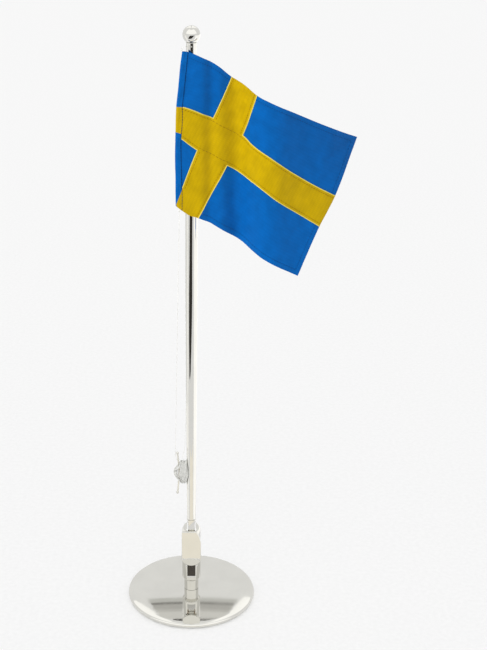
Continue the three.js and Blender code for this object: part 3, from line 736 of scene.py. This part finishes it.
class FLAGSTAND_OT_cleat(bpy.types.Operator):
    """Build the cleat: a bar with ball tips on two posts"""
    bl_idname = "flagstand.cleat"
    bl_label = "Cleat"

    def execute(self, context):
        low = CLEAT_LOW + HORN_BALL
        high = CLEAT_HIGH - HORN_BALL
        route = smooth_path([
            (HORN_X, 0, low), (CLEAT_X - 0.5 * MM, 0, low + 6 * MM), (CLEAT_X, 0, (low + high) / 2),
            (CLEAT_X - 0.5 * MM, 0, high - 6 * MM), (HORN_X, 0, high)], 12)
        bm = bmesh.new()
        sweep(bm, route, BAR_RADIUS, 24)
        cleat = object_from("cleat_bar", bm, nickel_plate_buffed())
        parts = []
        for height in (low, high):
            ball = spin([(0, -HORN_BALL), *arc((0, 0), HORN_BALL, -84, 84, 20), (0, HORN_BALL)], 36)
            bmesh.ops.translate(ball, verts=ball.verts, vec=(HORN_X, 0, height))
            parts.append(object_from("horn_ball", ball, nickel_plate_buffed()))
        for height in POST_HEIGHTS:
            inner_end = (-POST_HOLE_END - 2 * CLEARANCE, 0, height)
            parts.append(rod_cutter(POST_RADIUS, (CLEAT_X, 0, height), inner_end, 36))
        cut(cleat, parts, "UNION")
        place_piece(cleat, "pole", "polished_nickel", "cleat")
        return {"FINISHED"}


# Route of the halyard in millimetres: from the cleat up to the pole's head, through it and back down.
LINE_TOP = (-5.6, -4.8, 381.2)
LINE_FOOT = (-10.7, -4.8, 112)
OVER_TOP = [LINE_TOP, (-4.9, -5.2, 382.2), (-2.4, -5.6, 382.6), (-0.4, -5, 382.1), (0, -4, 382),
            (0, 0, 382), (0, 4, 382), (-0.2, 5, 381.2), (-0.6, 5.3, 379), (-0.7, 5.3, 376)]
BACK_DOWN = [(-0.7, 5.3, 376), (-2.4, 5.3, 240), (-4, 4.8, 125), (-5.9, 2.4, 105.2)]
TO_CLEAT = [LINE_FOOT, (-9.9, -3.9, 108), (-6.9, -2.2, 105.2)]
KNOTS = (("knot_above", "upper_knot"), ("knot_below", "lower_knot"))
WINDING_MIDDLE = 96.2 * MM
PLAIN_TURNS = 12
CROSSED_TURNS = 7


def scaled(points):
    return [Vector(p) * MM for p in points]


def winding_route():
    """The line round the cleat: plain turns round both posts, then crossed turns over the bar."""
    points = []
    for turn in range(PLAIN_TURNS):
        share = turn / (PLAIN_TURNS - 1)
        half_width = (2.3 + 1.3 * math.sin(math.pi * share) + 0.25 * (turn % 2)) * MM
        half_height = (8 + 0.8 * math.sin(2.4 * turn)) * MM
        reach = half_height - half_width
        x = (-7.3 + 4.2 * share) * MM
        bulge = 1.3 * MM * (share - 0.5)
        for step in range(16):
            angle = -math.pi / 2 + 2 * math.pi * step / 16
            y = half_width * math.cos(angle)
            z = half_height * math.sin(angle)
            straight = max(0.0, 1 - abs(z) / max(reach, 1e-6))
            points.append(Vector((x + bulge * straight + 0.12 * MM * math.sin(3 * angle + turn),
                                  y, WINDING_MIDDLE + z)))
    for turn in range(CROSSED_TURNS):
        spread = 0.4 * MM * (turn % 4)
        out = (-9.5 - 0.32 * turn) * MM
        wide = (1.9 + 0.2 * turn) * MM
        inner = -6.6 * MM
        tall = 8.4 * MM - spread
        points += [
            Vector((inner, 0.6 * MM, WINDING_MIDDLE + tall)),
            Vector((CLEAT_X, -wide, WINDING_MIDDLE + 0.62 * tall)),
            Vector((out, -0.6 * wide, WINDING_MIDDLE + 0.3 * tall)),
            Vector((out, 0.6 * wide, WINDING_MIDDLE - 0.3 * tall)),
            Vector((CLEAT_X, wide, WINDING_MIDDLE - 0.62 * tall)),
            Vector((inner, 0, WINDING_MIDDLE - tall)),
            Vector((CLEAT_X, -wide, WINDING_MIDDLE - 0.62 * tall)),
            Vector((out, -0.5 * wide, WINDING_MIDDLE - 0.2 * tall)),
            Vector((out, 0.5 * wide, WINDING_MIDDLE + 0.2 * tall)),
            Vector((CLEAT_X, wide, WINDING_MIDDLE + 0.62 * tall)),
        ]
    return points


def knot_route(centre, loop):
    """A tight overhand knot: a trefoil about the line."""
    points = []
    for i in range(48):
        a = 2 * math.pi * i / 48
        across = (2 + math.cos(3 * a)) * loop / 3
        points.append(centre + Vector((across * math.cos(2 * a), across * math.sin(2 * a),
                                       0.5 * loop * math.sin(3 * a))))
    return points


class FLAGSTAND_OT_line(bpy.types.Operator):
    """Build the nylon halyard, its turns on the cleat and its two knots"""
    bl_idname = "flagstand.line"
    bl_label = "Line"

    def execute(self, context):
        radius = sizes().line_diameter / 2
        nylon = nylon_line("nylon_line_drawn", 0.97, 1.2)
        wound = nylon_line("nylon_line_wound", 0.1, 0.8)
        bm = bmesh.new()
        sweep(bm, [Vector(LINE_FOOT) * MM, Vector(LINE_TOP) * MM], radius, 12)
        sweep(bm, smooth_path(scaled(OVER_TOP), 6), radius, 12)
        sweep(bm, smooth_path(scaled(BACK_DOWN), 12), radius, 12)
        sweep(bm, smooth_path(scaled(TO_CLEAT), 8), radius, 12)
        place_piece(object_from("halyard", bm, nylon), "pole", "nylon_line", "halyard_line")

        bm = bmesh.new()
        sweep(bm, smooth_path(winding_route(), 3), 1.4 * radius, 10)
        place_piece(object_from("halyard_turns", bm, wound), "pole", "nylon_line", "line_winding")

        for name, node in KNOTS:
            low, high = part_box(node)
            bm = bmesh.new()
            sweep(bm, knot_route((low + high) / 2, 0.5 * MM), 0.9 * radius, 10)
            place_piece(object_from(name, bm, nylon), "line_knots", "nylon_line", node)
        return {"FINISHED"}


# ---------------------------------------------------------------- flag

UNIT = 9 * MM  # one unit of the flag's cut, 16 long and 10 deep
LENGTH = 16
DEPTH = 10
UPRIGHT = (5, 7)
BAR = (4, 6)
SLANT = 0.5  # units the hoist edge moves along for each unit down
SLEEVE_UNITS = 0.66
SLEEVE_REACH = 0.62  # units from the hoist edge to the sleeve's seam
SLEEVE_WIDTH = 4.1 * MM
SLEEVE_HALF = 0.9 * MM
SLEEVE_Y = -4.9 * MM
CLOTH_Y = -5.3 * MM
BAR_AT_SLEEVE = 5.72  # the sleeve is sewn down a little high where the bar's lower edge meets it
TUCK = 0.03  # units that a blue panel goes in under the band sewn over it
HEM = 0.45  # units of the turned hem along the free edges
HEM_SLOPE = 0.08  # units either side, over which the hem's step fades out
HEM_EXTRA = 0.9  # the turned layer, as a share of the cloth under it
RIM_SHARE = 0.55  # a panel's cut edge is pressed thinner than its middle


def ease(low, high, value):
    """Smooth step from 0 at low to 1 at high."""
    t = min(1.0, max(0.0, (value - low) / (high - low)))
    return t * t * (3 - 2 * t)


def bump_at(value, middle, width):
    return math.exp(-((value - middle) / width) ** 2)


def lerp(a, b, t):
    return a + (b - a) * t


def hoist_edge(down):
    """Where the slanted hoist edge lies along the flag, in units."""
    return SLANT * down


def seam_distance(along, down):
    """Units to the nearest seam or sewn edge of the cross."""
    to_bar = min(abs(down - BAR[0]), abs(down - BAR[1]))
    in_bar = BAR[0] < down < BAR[1]
    to_upright = 9.0 if in_bar else min(abs(along - UPRIGHT[0]), abs(along - UPRIGHT[1]))
    to_sleeve = abs(along - hoist_edge(down) - SLEEVE_UNITS)
    return min(to_bar, to_upright, to_sleeve)


# Where the hung cloth passes: for rows so many units down, places (units along, x, z) in millimetres.
# These places were worked out by a separate program and pasted in, not worked out here.
HUNG_ROWS = (
    (0, (
        (0, -5.5, 379.6), (0.66, -1.5, 379.3), (2.11, 7.6, 375.4), (3.55, 16.4, 370.3),
        (5, 24.3, 363.6), (6, 32.0, 359.0), (7, 39.0, 354.2), (8.3, 47.2, 350.2), (10, 58.8, 344.5),
        (12, 73.0, 337.2), (14, 87.7, 329.7), (16, 103.4, 322.0),
    )),
    (4, (
        (2, -9.0, 346.8), (2.66, -4.9, 346.4), (3.44, 1.2, 344.4), (4.22, 7.1, 341.8),
        (5, 13.2, 339.0), (6, 22.3, 333.7), (7, 31.3, 328.5), (8.3, 38.0, 322.7), (10, 48.2, 316.1),
        (12, 61.0, 306.5), (14, 74.8, 297.2), (16, 89.2, 288.6),
    )),
    (6, (
        (3, -9.7, 328.6), (3.66, -5.8, 327.1), (4.33, -1.2, 323.5), (5, 3.7, 320.1), (6, 12.8, 314.9),
        (7, 21.8, 309.9), (8.3, 30.5, 304.6), (10, 40.5, 298.6), (12, 52.4, 289.4), (14, 66.1, 279.8),
        (16, 79.9, 270.5),
    )),
    (10, (
        (5, -9.6, 284.9), (5.66, -5.4, 281.5), (6.35, -0.7, 278.4), (7, 4.3, 276.9),
        (8.3, 14.0, 272.1), (10, 26.0, 264.3), (12, 38.5, 255.6), (14, 51.8, 247.6), (16, 66.9, 239.4),
    )),
)


def through(points, place):
    """A smooth value through (place, value) points, straight beyond both ends."""
    last = len(points) - 1

    def slope(i):
        start, end = points[max(i - 1, 0)], points[min(i + 1, last)]
        return (end[1] - start[1]) / (end[0] - start[0])

    if place <= points[0][0]:
        return points[0][1] + slope(0) * (place - points[0][0])
    if place >= points[last][0]:
        return points[last][1] + slope(last) * (place - points[last][0])
    i = next(k for k in range(last) if points[k + 1][0] > place)
    start, end = points[i], points[i + 1]
    span = end[0] - start[0]
    t = (place - start[0]) / span
    return (start[1] * (1 + 2 * t) * (1 - t) ** 2 + slope(i) * span * t * (1 - t) ** 2
            + end[1] * t * t * (3 - 2 * t) - slope(i + 1) * span * t * t * (1 - t))


def seam_place(axis, along, down):
    """Where the seams hang, as x (axis 1) or z (axis 2)."""
    return through([(row, through([(place[0], place[axis]) for place in places], along))
                    for row, places in HUNG_ROWS], down) * MM


# Upright folds in millimetres: how far back, where in x, how much further along at the bottom, and width.
FOLDS = ((2.4, 11, 0, 6), (6, 26, 4, 8.5), (-5, 46, 3, 15))
FREE_OF_POLE = (4.5 * MM, 13 * MM)  # the folds grow between these, where the cloth clears the pole
SWEEP_START = 52 * MM  # from here to the fly, the top edge sweeps back
SWEEP_BACK = 26 * MM


def hang(along, down):
    """Where a place on the cut cloth hangs, without its small creases."""
    t = down / DEPTH
    x = seam_place(1, along, down)
    folds = sum(back * bump_at(x, (middle + drift * t) * MM, width * MM)
                for back, middle, drift, width in FOLDS) * MM
    swept = SWEEP_BACK * max(0.0, x / SWEEP_START - 1) ** 1.6 * (1 - t)
    y = CLOTH_Y + ease(*FREE_OF_POLE, x) * folds + swept
    return Vector((x, y, seam_place(2, along, down)))


def facing_of(along, down):
    """The cloth's direction, pointing to the front."""
    step = 0.04
    run = hang(along + step, down) - hang(along - step, down)
    fall = hang(along, down + step) - hang(along, down - step)
    return run.cross(fall).normalized() * (1 if run.cross(fall).y < 0 else -1)


def crease(along, down):
    """Small creases: slack between the seams and puckers where thread pulls the cloth in."""
    inland = ease(0.0, 1.1, along - hoist_edge(down) - SLEEVE_UNITS)
    soft = noise.noise(Vector((along * 0.42, down * 0.3, 1.7))) * 0.7 * MM
    fine = noise.noise(Vector((along * 1.3, down * 0.9, 5.1))) * 0.22 * MM
    away = seam_distance(along, down)
    pucker = noise.noise(Vector((along * 3.4, down * 3.4, 9.4))) * 0.16 * MM * bump_at(away, 0.0, 0.35)
    return inland * (soft + fine) + pucker


def cloth_point(along, down, off=0.0):
    """A place on the hung cloth, moved off its middle towards the front."""
    return hang(along, down) + facing_of(along, down) * (crease(along, down) + off)


def hem_fold(along, down, edges):
    """Extra thickness of the turned hem near the free edges named, in units from the edge."""
    distances = []
    if "top" in edges:
        distances.append(down)
    if "bottom" in edges:
        distances.append(DEPTH - down)
    if "fly" in edges:
        distances.append(LENGTH - along)
    if not distances:
        return 0.0
    return 1 - ease(HEM - HEM_SLOPE, HEM + HEM_SLOPE, min(distances))


def lay_out(bm, place):
    """Gives each vertex its place on the flat cut as the texture coordinate, in metres."""
    uv_layer = bm.loops.layers.uv.new("cut")
    for face in bm.faces:
        for corner in face.loops:
            corner[uv_layer].uv = place[corner.vert]


def panel_mesh(start, end, top, bottom, thickness, edges=""):
    """A thin closed sheet of hung cloth between two edges that are rules of the depth."""
    steps_down = max(6, round((bottom - top) * 8))
    widest = max(end(top) - start(top), end(bottom) - start(bottom))
    steps_along = max(6, round(widest * 8))
    bm = bmesh.new()
    place = {}
    layers = []
    for side in (1, -1):
        rows = []
        for j in range(steps_down + 1):
            down = lerp(top, bottom, j / steps_down)
            row = []
            for i in range(steps_along + 1):
                along = lerp(start(down), end(down), i / steps_along)
                half = thickness / 2 * (1 + HEM_EXTRA * hem_fold(along, down, edges))
                outside = i in (0, steps_along) or j in (0, steps_down)
                half *= RIM_SHARE if outside else 1.0
                over_sleeve = (along - hoist_edge(down)) / SLEEVE_REACH
                if over_sleeve < 1 and start(down) > hoist_edge(down) + SLEEVE_UNITS - 1.5:
                    share = max(0.0, over_sleeve)
                    lap = max(half, sleeve_section(share) + 0.1 * MM)
                    vertex = bm.verts.new(sleeve_point(share, down, side * lap))
                else:
                    vertex = bm.verts.new(cloth_point(along, down, side * half))
                place[vertex] = (along * UNIT, down * UNIT)
                row.append(vertex)
            rows.append(row)
        layers.append(rows)
    front, back = layers
    skin(bm, front, closed=False)
    skin(bm, [row[::-1] for row in back], closed=False)
    rim = ([(0, i) for i in range(steps_along)]
           + [(j, steps_along) for j in range(steps_down)]
           + [(steps_down, i) for i in range(steps_along, 0, -1)]
           + [(j, 0) for j in range(steps_down, 0, -1)])
    for (j, i), (k, m) in zip(rim, rim[1:] + rim[:1]):
        bm.faces.new((front[j][i], front[k][m], back[k][m], back[j][i]))
    lay_out(bm, place)
    return bm


def cloth_panel(name, node, slot, material, start, end, top, bottom, thickness, edges=""):
    """One cut panel of the flag, hung, on the flag's body."""
    panel = object_from(name, panel_mesh(start, end, top, bottom, thickness, edges), material)
    smooth_shading(panel.data, 60)
    place_piece(panel, "flag", slot, node)
    steps = 40
    widths = [end(d) - start(d) for d in (lerp(top, bottom, i / steps) for i in range(steps + 1))]
    return panel


def blue_satin():
    return satin_woven("blue_satin_woven", colours().blue)


def yellow_satin():
    return satin_woven("yellow_satin_woven", colours().yellow, math.pi / 2)


def sleeve_edge(down):
    return hoist_edge(down) + SLEEVE_UNITS - 0.05


class FLAGSTAND_OT_panels(bpy.types.Operator):
    """Hang the four blue panels and the three strips of the cross"""
    bl_idname = "flagstand.panels"
    bl_label = "Flag panels"

    def execute(self, context):
        cloth = sizes().cloth_thickness
        band = sizes().band_thickness
        blue = blue_satin()
        yellow = yellow_satin()
        left, right = UPRIGHT
        upper, lower = BAR
        end_of_canton = (left - SLEEVE_UNITS) / SLANT

        def at(value):
            return lambda down: value

        for name, node, start, end, top, bottom, edges in (
            ("blue_upper_hoist", "canton_upper", sleeve_edge, at(left + TUCK), 0, upper + TUCK, "top"),
            ("blue_lower_hoist", "canton_lower", sleeve_edge, at(left + TUCK), lower - TUCK,
             end_of_canton, ""),
            ("blue_upper_fly", "fly_upper", at(right - TUCK), at(LENGTH), 0, upper + TUCK, "top fly"),
            ("blue_lower_fly", "fly_lower", at(right - TUCK), at(LENGTH), lower - TUCK, DEPTH,
             "bottom fly"),
        ):
            cloth_panel(name, node, "blue_satin", blue, start, end, top, bottom, cloth, edges)
        for name, node, start, end, top, bottom, thickness in (
            ("upright_upper", "cross_upright_upper", at(left), at(right), 0, upper + TUCK, 0.8 * band),
            ("upright_lower", "cross_upright_lower", at(left), at(right), lower - TUCK, DEPTH,
             0.8 * band),
            ("long_bar", "cross_bar", sleeve_edge, at(LENGTH), upper, lower, band),
        ):
            cloth_panel(name, node, "yellow_satin", yellow, start, end, top, bottom, thickness)
        return {"FINISHED"}


def sleeve_section(share):
    """Half thickness of the sleeve at a share of its width: round over the line, pinched at its seam."""
    nose = math.sqrt(max(0.0, 1 - (1 - min(1.0, share / 0.3)) ** 2))
    body = lerp(1.0, 0.42, ease(0.25, 0.9, share))
    pinch = 1 - 0.62 * ease(0.86, 0.97, share)
    return SLEEVE_HALF * nose * body * pinch


def sleeve_point(share, down, off):
    """A place on the sleeve, off its middle towards the front."""
    along = hoist_edge(down) + SLEEVE_REACH * share
    base = hang(along, down)
    base.y = lerp(SLEEVE_Y, CLOTH_Y, ease(0.2, 1.0, share))
    ripple = noise.noise(Vector((share * 1.5, down * 1.6, 3.3))) * 0.3 * MM
    ripple += noise.noise(Vector((share * 3, down * 4.5, 7.9))) * 0.12 * MM
    base.x += 0.35 * MM * noise.noise(Vector((0.5, down * 0.9, 2.2))) * (1 - share)
    return base + Vector((0, -1, 0)) * (off * (1 + 0.5 * ripple / (0.3 * MM)))


def sleeve_mesh(top, bottom, wall):
    """A stretch of the sleeve as an open tube with a wall."""
    steps = max(10, round((bottom - top) * 12))
    shares = [0.5 * (1 - math.cos(math.pi * k / 22)) for k in range(23)]
    loop = [(share, 1) for share in shares] + [(share, -1) for share in reversed(shares[1:-1])]
    bm = bmesh.new()
    place = {}
    skins = []
    for inset in (0.0, wall):
        rows = []
        for j in range(steps + 1):
            down = lerp(top, bottom, j / steps)
            row = []
            for share, side in loop:
                inner = 0.5 + (share - 0.5) * (1 - 2 * inset / SLEEVE_WIDTH)
                half = max(0.04 * MM if share not in (0.0, 1.0) else 0.0, sleeve_section(share) - inset)
                vertex = bm.verts.new(sleeve_point(inner, down, side * half))
                place[vertex] = ((side * share * SLEEVE_UNITS + hoist_edge(down)) * UNIT, down * UNIT)
                row.append(vertex)
            rows.append(row)
        skins.append(rows)
    outer, inner = skins
    for rows in skins:
        skin(bm, rows, closed=True)
    for j in (0, steps):
        skin(bm, [outer[j], inner[j]], closed=True)
    lay_out(bm, place)
    return bm


class FLAGSTAND_OT_sleeve(bpy.types.Operator):
    """Sew the sleeve that the line runs through, blue with the cross's yellow across it"""
    bl_idname = "flagstand.sleeve"
    bl_label = "Sleeve"

    def execute(self, context):
        wall = sizes().cloth_thickness
        for name, slot, material, top, bottom, nodes in (
            ("sleeve", "blue_satin", blue_satin(), 0, BAR[0], ("hoist_sleeve",)),
            ("sleeve_across_bar", "yellow_satin", yellow_satin(), BAR[0], BAR_AT_SLEEVE, ()),
            ("sleeve_below_bar", "blue_satin", blue_satin(), BAR_AT_SLEEVE, DEPTH, ()),
        ):
            piece = object_from(name, sleeve_mesh(top, bottom, wall), material)
            smooth_shading(piece.data, 60)
            place_piece(piece, "flag", slot, *nodes)
        return {"FINISHED"}


STITCH_RADIUS = 0.13 * MM
STITCH_LIFT = 0.34 * MM  # from the cloth's middle to the thread where it goes in
STITCH_INSET = 0.17  # units from a band's edge to its stitches
HEM_INSET = 0.36  # units from a free edge to the hem's stitches
WELT_RADIUS = 0.3 * MM
WELT_LIFT = 0.22 * MM
SEAM_SHARE = 0.97  # how far across the sleeve its seam runs


def stitch_run(bm, start, end, side, length):
    """Adds a row of stitches to the face of the cloth between two places on the cut, in units."""
    span = math.hypot(end[0] - start[0], end[1] - start[1]) * UNIT
    count = max(2, round(span / length))
    for i in range(count):
        ends = [(i + 0.15) / count, (i + 0.5) / count, (i + 0.85) / count]
        path = []
        for share, height in zip(ends, (0.0, 1.0, 0.0)):
            along = lerp(start[0], end[0], share)
            down = lerp(start[1], end[1], share)
            path.append(cloth_point(along, down, side * (STITCH_LIFT + 0.06 * MM * height)))
        sweep(bm, path, STITCH_RADIUS, 6)


def welt_run(bm, start, end, side):
    """Adds a fine welt along a seam, between two places on the cut, in units."""
    span = math.hypot(end[0] - start[0], end[1] - start[1]) * UNIT
    steps = max(8, round(span / (1.2 * MM)))
    path = [cloth_point(lerp(start[0], end[0], i / steps), lerp(start[1], end[1], i / steps),
                        side * WELT_LIFT) for i in range(steps + 1)]
    sweep(bm, path, WELT_RADIUS, 8)


def band_edges():
    """The edges of the cross against the blue: both ends on the cut, and the way towards the blue."""
    left, right = UPRIGHT
    upper, lower = BAR
    foot = 2 * (left - SLEEVE_UNITS)
    return [
        ((sleeve_edge(upper), upper), (left, upper), (0, -1)),
        ((right, upper), (LENGTH, upper), (0, -1)),
        ((sleeve_edge(lower), lower), (left, lower), (0, 1)),
        ((right, lower), (LENGTH, lower), (0, 1)),
        ((left, 0), (left, upper), (-1, 0)),
        ((right, 0), (right, upper), (1, 0)),
        ((left, lower), (left, foot), (-1, 0)),
        ((right, lower), (right, DEPTH), (1, 0)),
    ]


def shifted(point, way, amount):
    return point[0] + way[0] * amount, point[1] + way[1] * amount


class FLAGSTAND_OT_sewing(bpy.types.Operator):
    """Sew the welts and rows of stitches along the cross, the hems and the sleeve"""
    bl_idname = "flagstand.sewing"
    bl_label = "Sewing"

    def execute(self, context):
        pitch = sizes().stitch_length
        welts = bmesh.new()
        stitches = bmesh.new()
        for start, end, way in band_edges():
            for side in (1, -1):
                welt_run(welts, start, end, side)
                inner = [shifted(p, way, -STITCH_INSET) for p in (start, end)]
                stitch_run(stitches, *inner, side, pitch)
        for row, way in ((BAR[0], 1), (BAR[1], -1)):
            for side in (1, -1):
                crossing = [(place, row + STITCH_INSET * way) for place in UPRIGHT]
                stitch_run(stitches, *crossing, side, pitch)
        yellow = satin_woven("yellow_satin_welt", linear("#e6d45c"))
        place_piece(object_from("cross_welts", welts, yellow), "flag", "yellow_satin")
        gold = thread_twisted("thread_gold_twisted", linear("#8f6c00"))
        place_piece(object_from("cross_stitches", stitches, gold), "flag", "yellow_satin")

        hems = bmesh.new()
        fly = LENGTH - HEM_INSET
        for start, end in (
            ((sleeve_edge(0), HEM_INSET), (UPRIGHT[0], HEM_INSET)),
            ((UPRIGHT[1], HEM_INSET), (fly, HEM_INSET)),
            ((fly, HEM_INSET), (fly, BAR[0])),
            ((fly, BAR[1]), (fly, DEPTH - HEM_INSET)),
            ((UPRIGHT[1], DEPTH - HEM_INSET), (fly, DEPTH - HEM_INSET)),
        ):
            for side in (1, -1):
                stitch_run(hems, start, end, side * 0.72, pitch)
        thread = thread_twisted("thread_blue_twisted", shade(colours().blue, 0.55))
        place_piece(object_from("hem_stitches", hems, thread), "flag", "blue_satin")

        seam = bmesh.new()
        count = round(DEPTH * UNIT / (0.8 * pitch))
        for i in range(count):
            for side in (1, -1):
                path = [sleeve_point(SEAM_SHARE, DEPTH * (i + share) / count, side * (0.3 + lift) * MM)
                        for share, lift in ((0.12, 0), (0.5, 0.1), (0.88, 0))]
                sweep(seam, path, 0.16 * MM, 6)
        navy = thread_twisted("thread_navy_twisted", linear("#0a1f45"))
        place_piece(object_from("sleeve_stitches", seam, navy), "flag", "blue_satin")
        return {"FINISHED"}


# ---------------------------------------------------------------- stage

CAMERA_PLACE = (0.0, -0.776, 0.520)
CAMERA_PITCH = 67.8
CAMERA_LENS = 72.0
CAMERA_SHIFT = 0.0802
SKY_STRENGTH = 0.66
KEY_STRENGTH = 2.5
KEY_ANGLE = 25
KEY_AIM = (0.62, 0.62, -0.45)
TENT_RADIUS = 7.5


@made_once
def emitter(tree, colour, strength):
    """A plain glowing card."""
    glow = add_node(tree, "ShaderNodeEmission", {"Color": rgba(colour), "Strength": strength})
    add_node(tree, "ShaderNodeOutputMaterial", {"Surface": (glow, "Emission")})


def card(name, corners, material):
    """A flat card that only reflections see."""
    bm = bmesh.new()
    bm.faces.new([bm.verts.new(c) for c in corners])
    made = object_from(name, bm, material)
    made.visible_camera = False
    made.visible_shadow = False
    made.visible_diffuse = False
    return made


def sky_card(name, outline, material, distance=6.0):
    """A card above the stand, from corners given as azimuth from the back and elevation, in degrees."""
    corners = []
    for azimuth, elevation in outline:
        a, e = math.radians(azimuth), math.radians(elevation)
        corners.append((distance * math.sin(a) * math.cos(e), distance * math.cos(a) * math.cos(e),
                        distance * math.sin(e)))
    return card(name, corners, material)


def sky_box(name, left, right, low, high, material, distance=6.1):
    """A broad card above the stand, bent round it between two azimuths and two elevations."""
    steps = 12
    azimuths = [lerp(left, right, i / steps) for i in range(steps + 1)]
    return sky_card(name, [(a, low) for a in azimuths] + [(a, high) for a in reversed(azimuths)],
                    material, distance)


# The tent's roof above the back, in strips: half width, low and high edge in degrees, and tone.
ROOF = (
    (6.2, 36.05, 37.05, "#d6d6d2"),
    (5.9, 37.05, 37.5, "#8c8b87"),
    (5.7, 37.5, 38.6, "#c6c5c1"),
    (5.4, 38.6, 39.2, "#d4d3cf"),
    (5.0, 39.2, 40.85, "#e8e7e3"),
    (3.6, 40.85, 41.35, "#403e3a"),
)
# Cards that lie on the table: height, tone, strength and corners. The opening is the tent's dark open
# front, which polished metal shows as a line down its middle. The sheets are bright, and light the
# pole's sides and the stop plate.
TABLE_CARDS = (
    ("opening", 0.002, linear("#3c3a36"), 1.0, (
        (-0.24, -0.27), (-0.34, -0.31), (-0.42, -0.41), (-0.42, -0.58), (-0.46, -0.70), (-0.78, -2.0),
        (-1.2, -4), (3.2, -4), (1.30, -1.75), (0.26, -0.80), (0.20, -0.69), (0.17, -0.55), (0.03, -0.45),
        (-0.09, -0.36))),
    ("left_sheet", 0.001, (1.0, 0.99, 0.97), 1.2, (
        (-0.085, -0.04), (-3, -1.3), (-3, 0.3), (-0.3, 0.03), (-0.25, 0.25), (-0.085, 0.12))),
    ("right_sheet", 0.001, (1.0, 0.99, 0.97), 1.4, ((0.085, -0.07), (3, -2.4), (3, 3), (0.085, 3))),
    ("front_sheet", 0.001, (1.0, 0.95, 0.84), 1.1, (
        (-0.12, -0.2), (0.12, -0.2), (0.06, -0.048), (-0.06, -0.048))),
)


class FLAGSTAND_OT_stage(bpy.types.Operator):
    """Set out the floor, the lights, the reflection cards and the camera"""
    bl_idname = "flagstand.stage"
    bl_label = "Stage"

    def execute(self, context):
        scene = context.scene
        floor = object_from("floor", spin([(0, 0), (2, 0), (8, 0)], 64), studio_paper_matt())

        world = bpy.data.worlds.new("soft_studio")
        world.use_nodes = True
        scene.world = world
        sky = world.node_tree.nodes["Background"]
        sky.inputs["Color"].default_value = (1.0, 1.0, 1.0, 1.0)
        sky.inputs["Strength"].default_value = SKY_STRENGTH

        tent = object_from("tent", spin([*arc((0, 0), TENT_RADIUS, 0, 88, 24), (0, TENT_RADIUS)], 64),
                           emitter("tent_white", linear("#f9f9f8"), 1.0))
        tent.visible_diffuse = False
        tent.visible_shadow = False

        for name, height, tone, strength, outline in TABLE_CARDS:
            card(name, [(x, y, height) for x, y in outline], emitter(f"{name}_glow", tone, strength))
        for i, (half, low, high, tone) in enumerate(ROOF):
            shift = 0.8 if i == len(ROOF) - 1 else 0.2
            left, right = shift - half, shift + half
            outline = [(left, low), (right, low), (right - 0.1, high), (left + 0.1, high)]
            sky_card(f"roof_{i}", outline, emitter(f"roof_tone_{i}", linear(tone), 1.0))
        bright = emitter("soft_box_white", (1.0, 0.995, 0.98), 1.35)
        sky_card("soft_box_left", [(-7.2, 36.6), (-5.2, 39.3), (-4.8, 75), (-45, 75), (-45, 36.6)], bright)
        sky_card("soft_box_right", [(7.2, 35.2), (45, 35.2), (45, 75), (5.0, 75), (5.6, 39.0)], bright)
        sky_box("soft_box_front", 105, 255, 16, 70, bright)

        lamp = bpy.data.lights.new("key", "SUN")
        lamp.energy = KEY_STRENGTH
        lamp.angle = math.radians(KEY_ANGLE)
        lamp.use_shadow = False
        key = bpy.data.objects.new("key", lamp)
        key.rotation_euler = Vector(KEY_AIM).to_track_quat("-Z", "Y").to_euler()
        key.visible_glossy = False
        scene.collection.objects.link(key)

        data = bpy.data.cameras.new("camera")
        data.lens = CAMERA_LENS
        data.shift_x = CAMERA_SHIFT
        camera = bpy.data.objects.new("camera", data)
        camera.location = CAMERA_PLACE
        camera.rotation_euler = (math.radians(CAMERA_PITCH), 0, 0)
        scene.collection.objects.link(camera)
        scene.camera = camera
        scene.view_settings.view_transform = "Standard"
        return {"FINISHED"}


# ---------------------------------------------------------------- panel and start

STEPS = (
    FLAGSTAND_OT_stage,
    FLAGSTAND_OT_foot,
    FLAGSTAND_OT_fork,
    FLAGSTAND_OT_plate,
    FLAGSTAND_OT_pole,
    FLAGSTAND_OT_cleat,
    FLAGSTAND_OT_line,
    FLAGSTAND_OT_panels,
    FLAGSTAND_OT_sleeve,
    FLAGSTAND_OT_sewing,
)


class FLAGSTAND_PT_panel(bpy.types.Panel):
    """Lists the steps that build the stand"""
    bl_idname = "FLAGSTAND_PT_panel"
    bl_label = "Flag Stand"
    bl_space_type = "VIEW_3D"
    bl_region_type = "UI"
    bl_category = "Flag Stand"

    def draw(self, context):
        layout = self.layout
        for step in STEPS:
            layout.operator(step.bl_idname)
        for group in (context.scene.flag_stand_sizes, context.scene.flag_stand_colours):
            for name in group.bl_rna.properties.keys():
                if name not in ("rna_type", "name"):
                    layout.prop(group, name)


CLASSES = (FlagStandSizes, FlagStandColours, *STEPS, FLAGSTAND_PT_panel)


def register():
    for cls in CLASSES:
        bpy.utils.register_class(cls)
    bpy.types.Scene.flag_stand_sizes = bpy.props.PointerProperty(type=FlagStandSizes)
    bpy.types.Scene.flag_stand_colours = bpy.props.PointerProperty(type=FlagStandColours)


def unregister():
    del bpy.types.Scene.flag_stand_colours
    del bpy.types.Scene.flag_stand_sizes
    for cls in reversed(CLASSES):
        bpy.utils.unregister_class(cls)


def main():
    register()
    for step in STEPS:
        group, name = step.bl_idname.split(".")
        getattr(getattr(bpy.ops, group), name)()


if __name__ == "__main__":
    main()
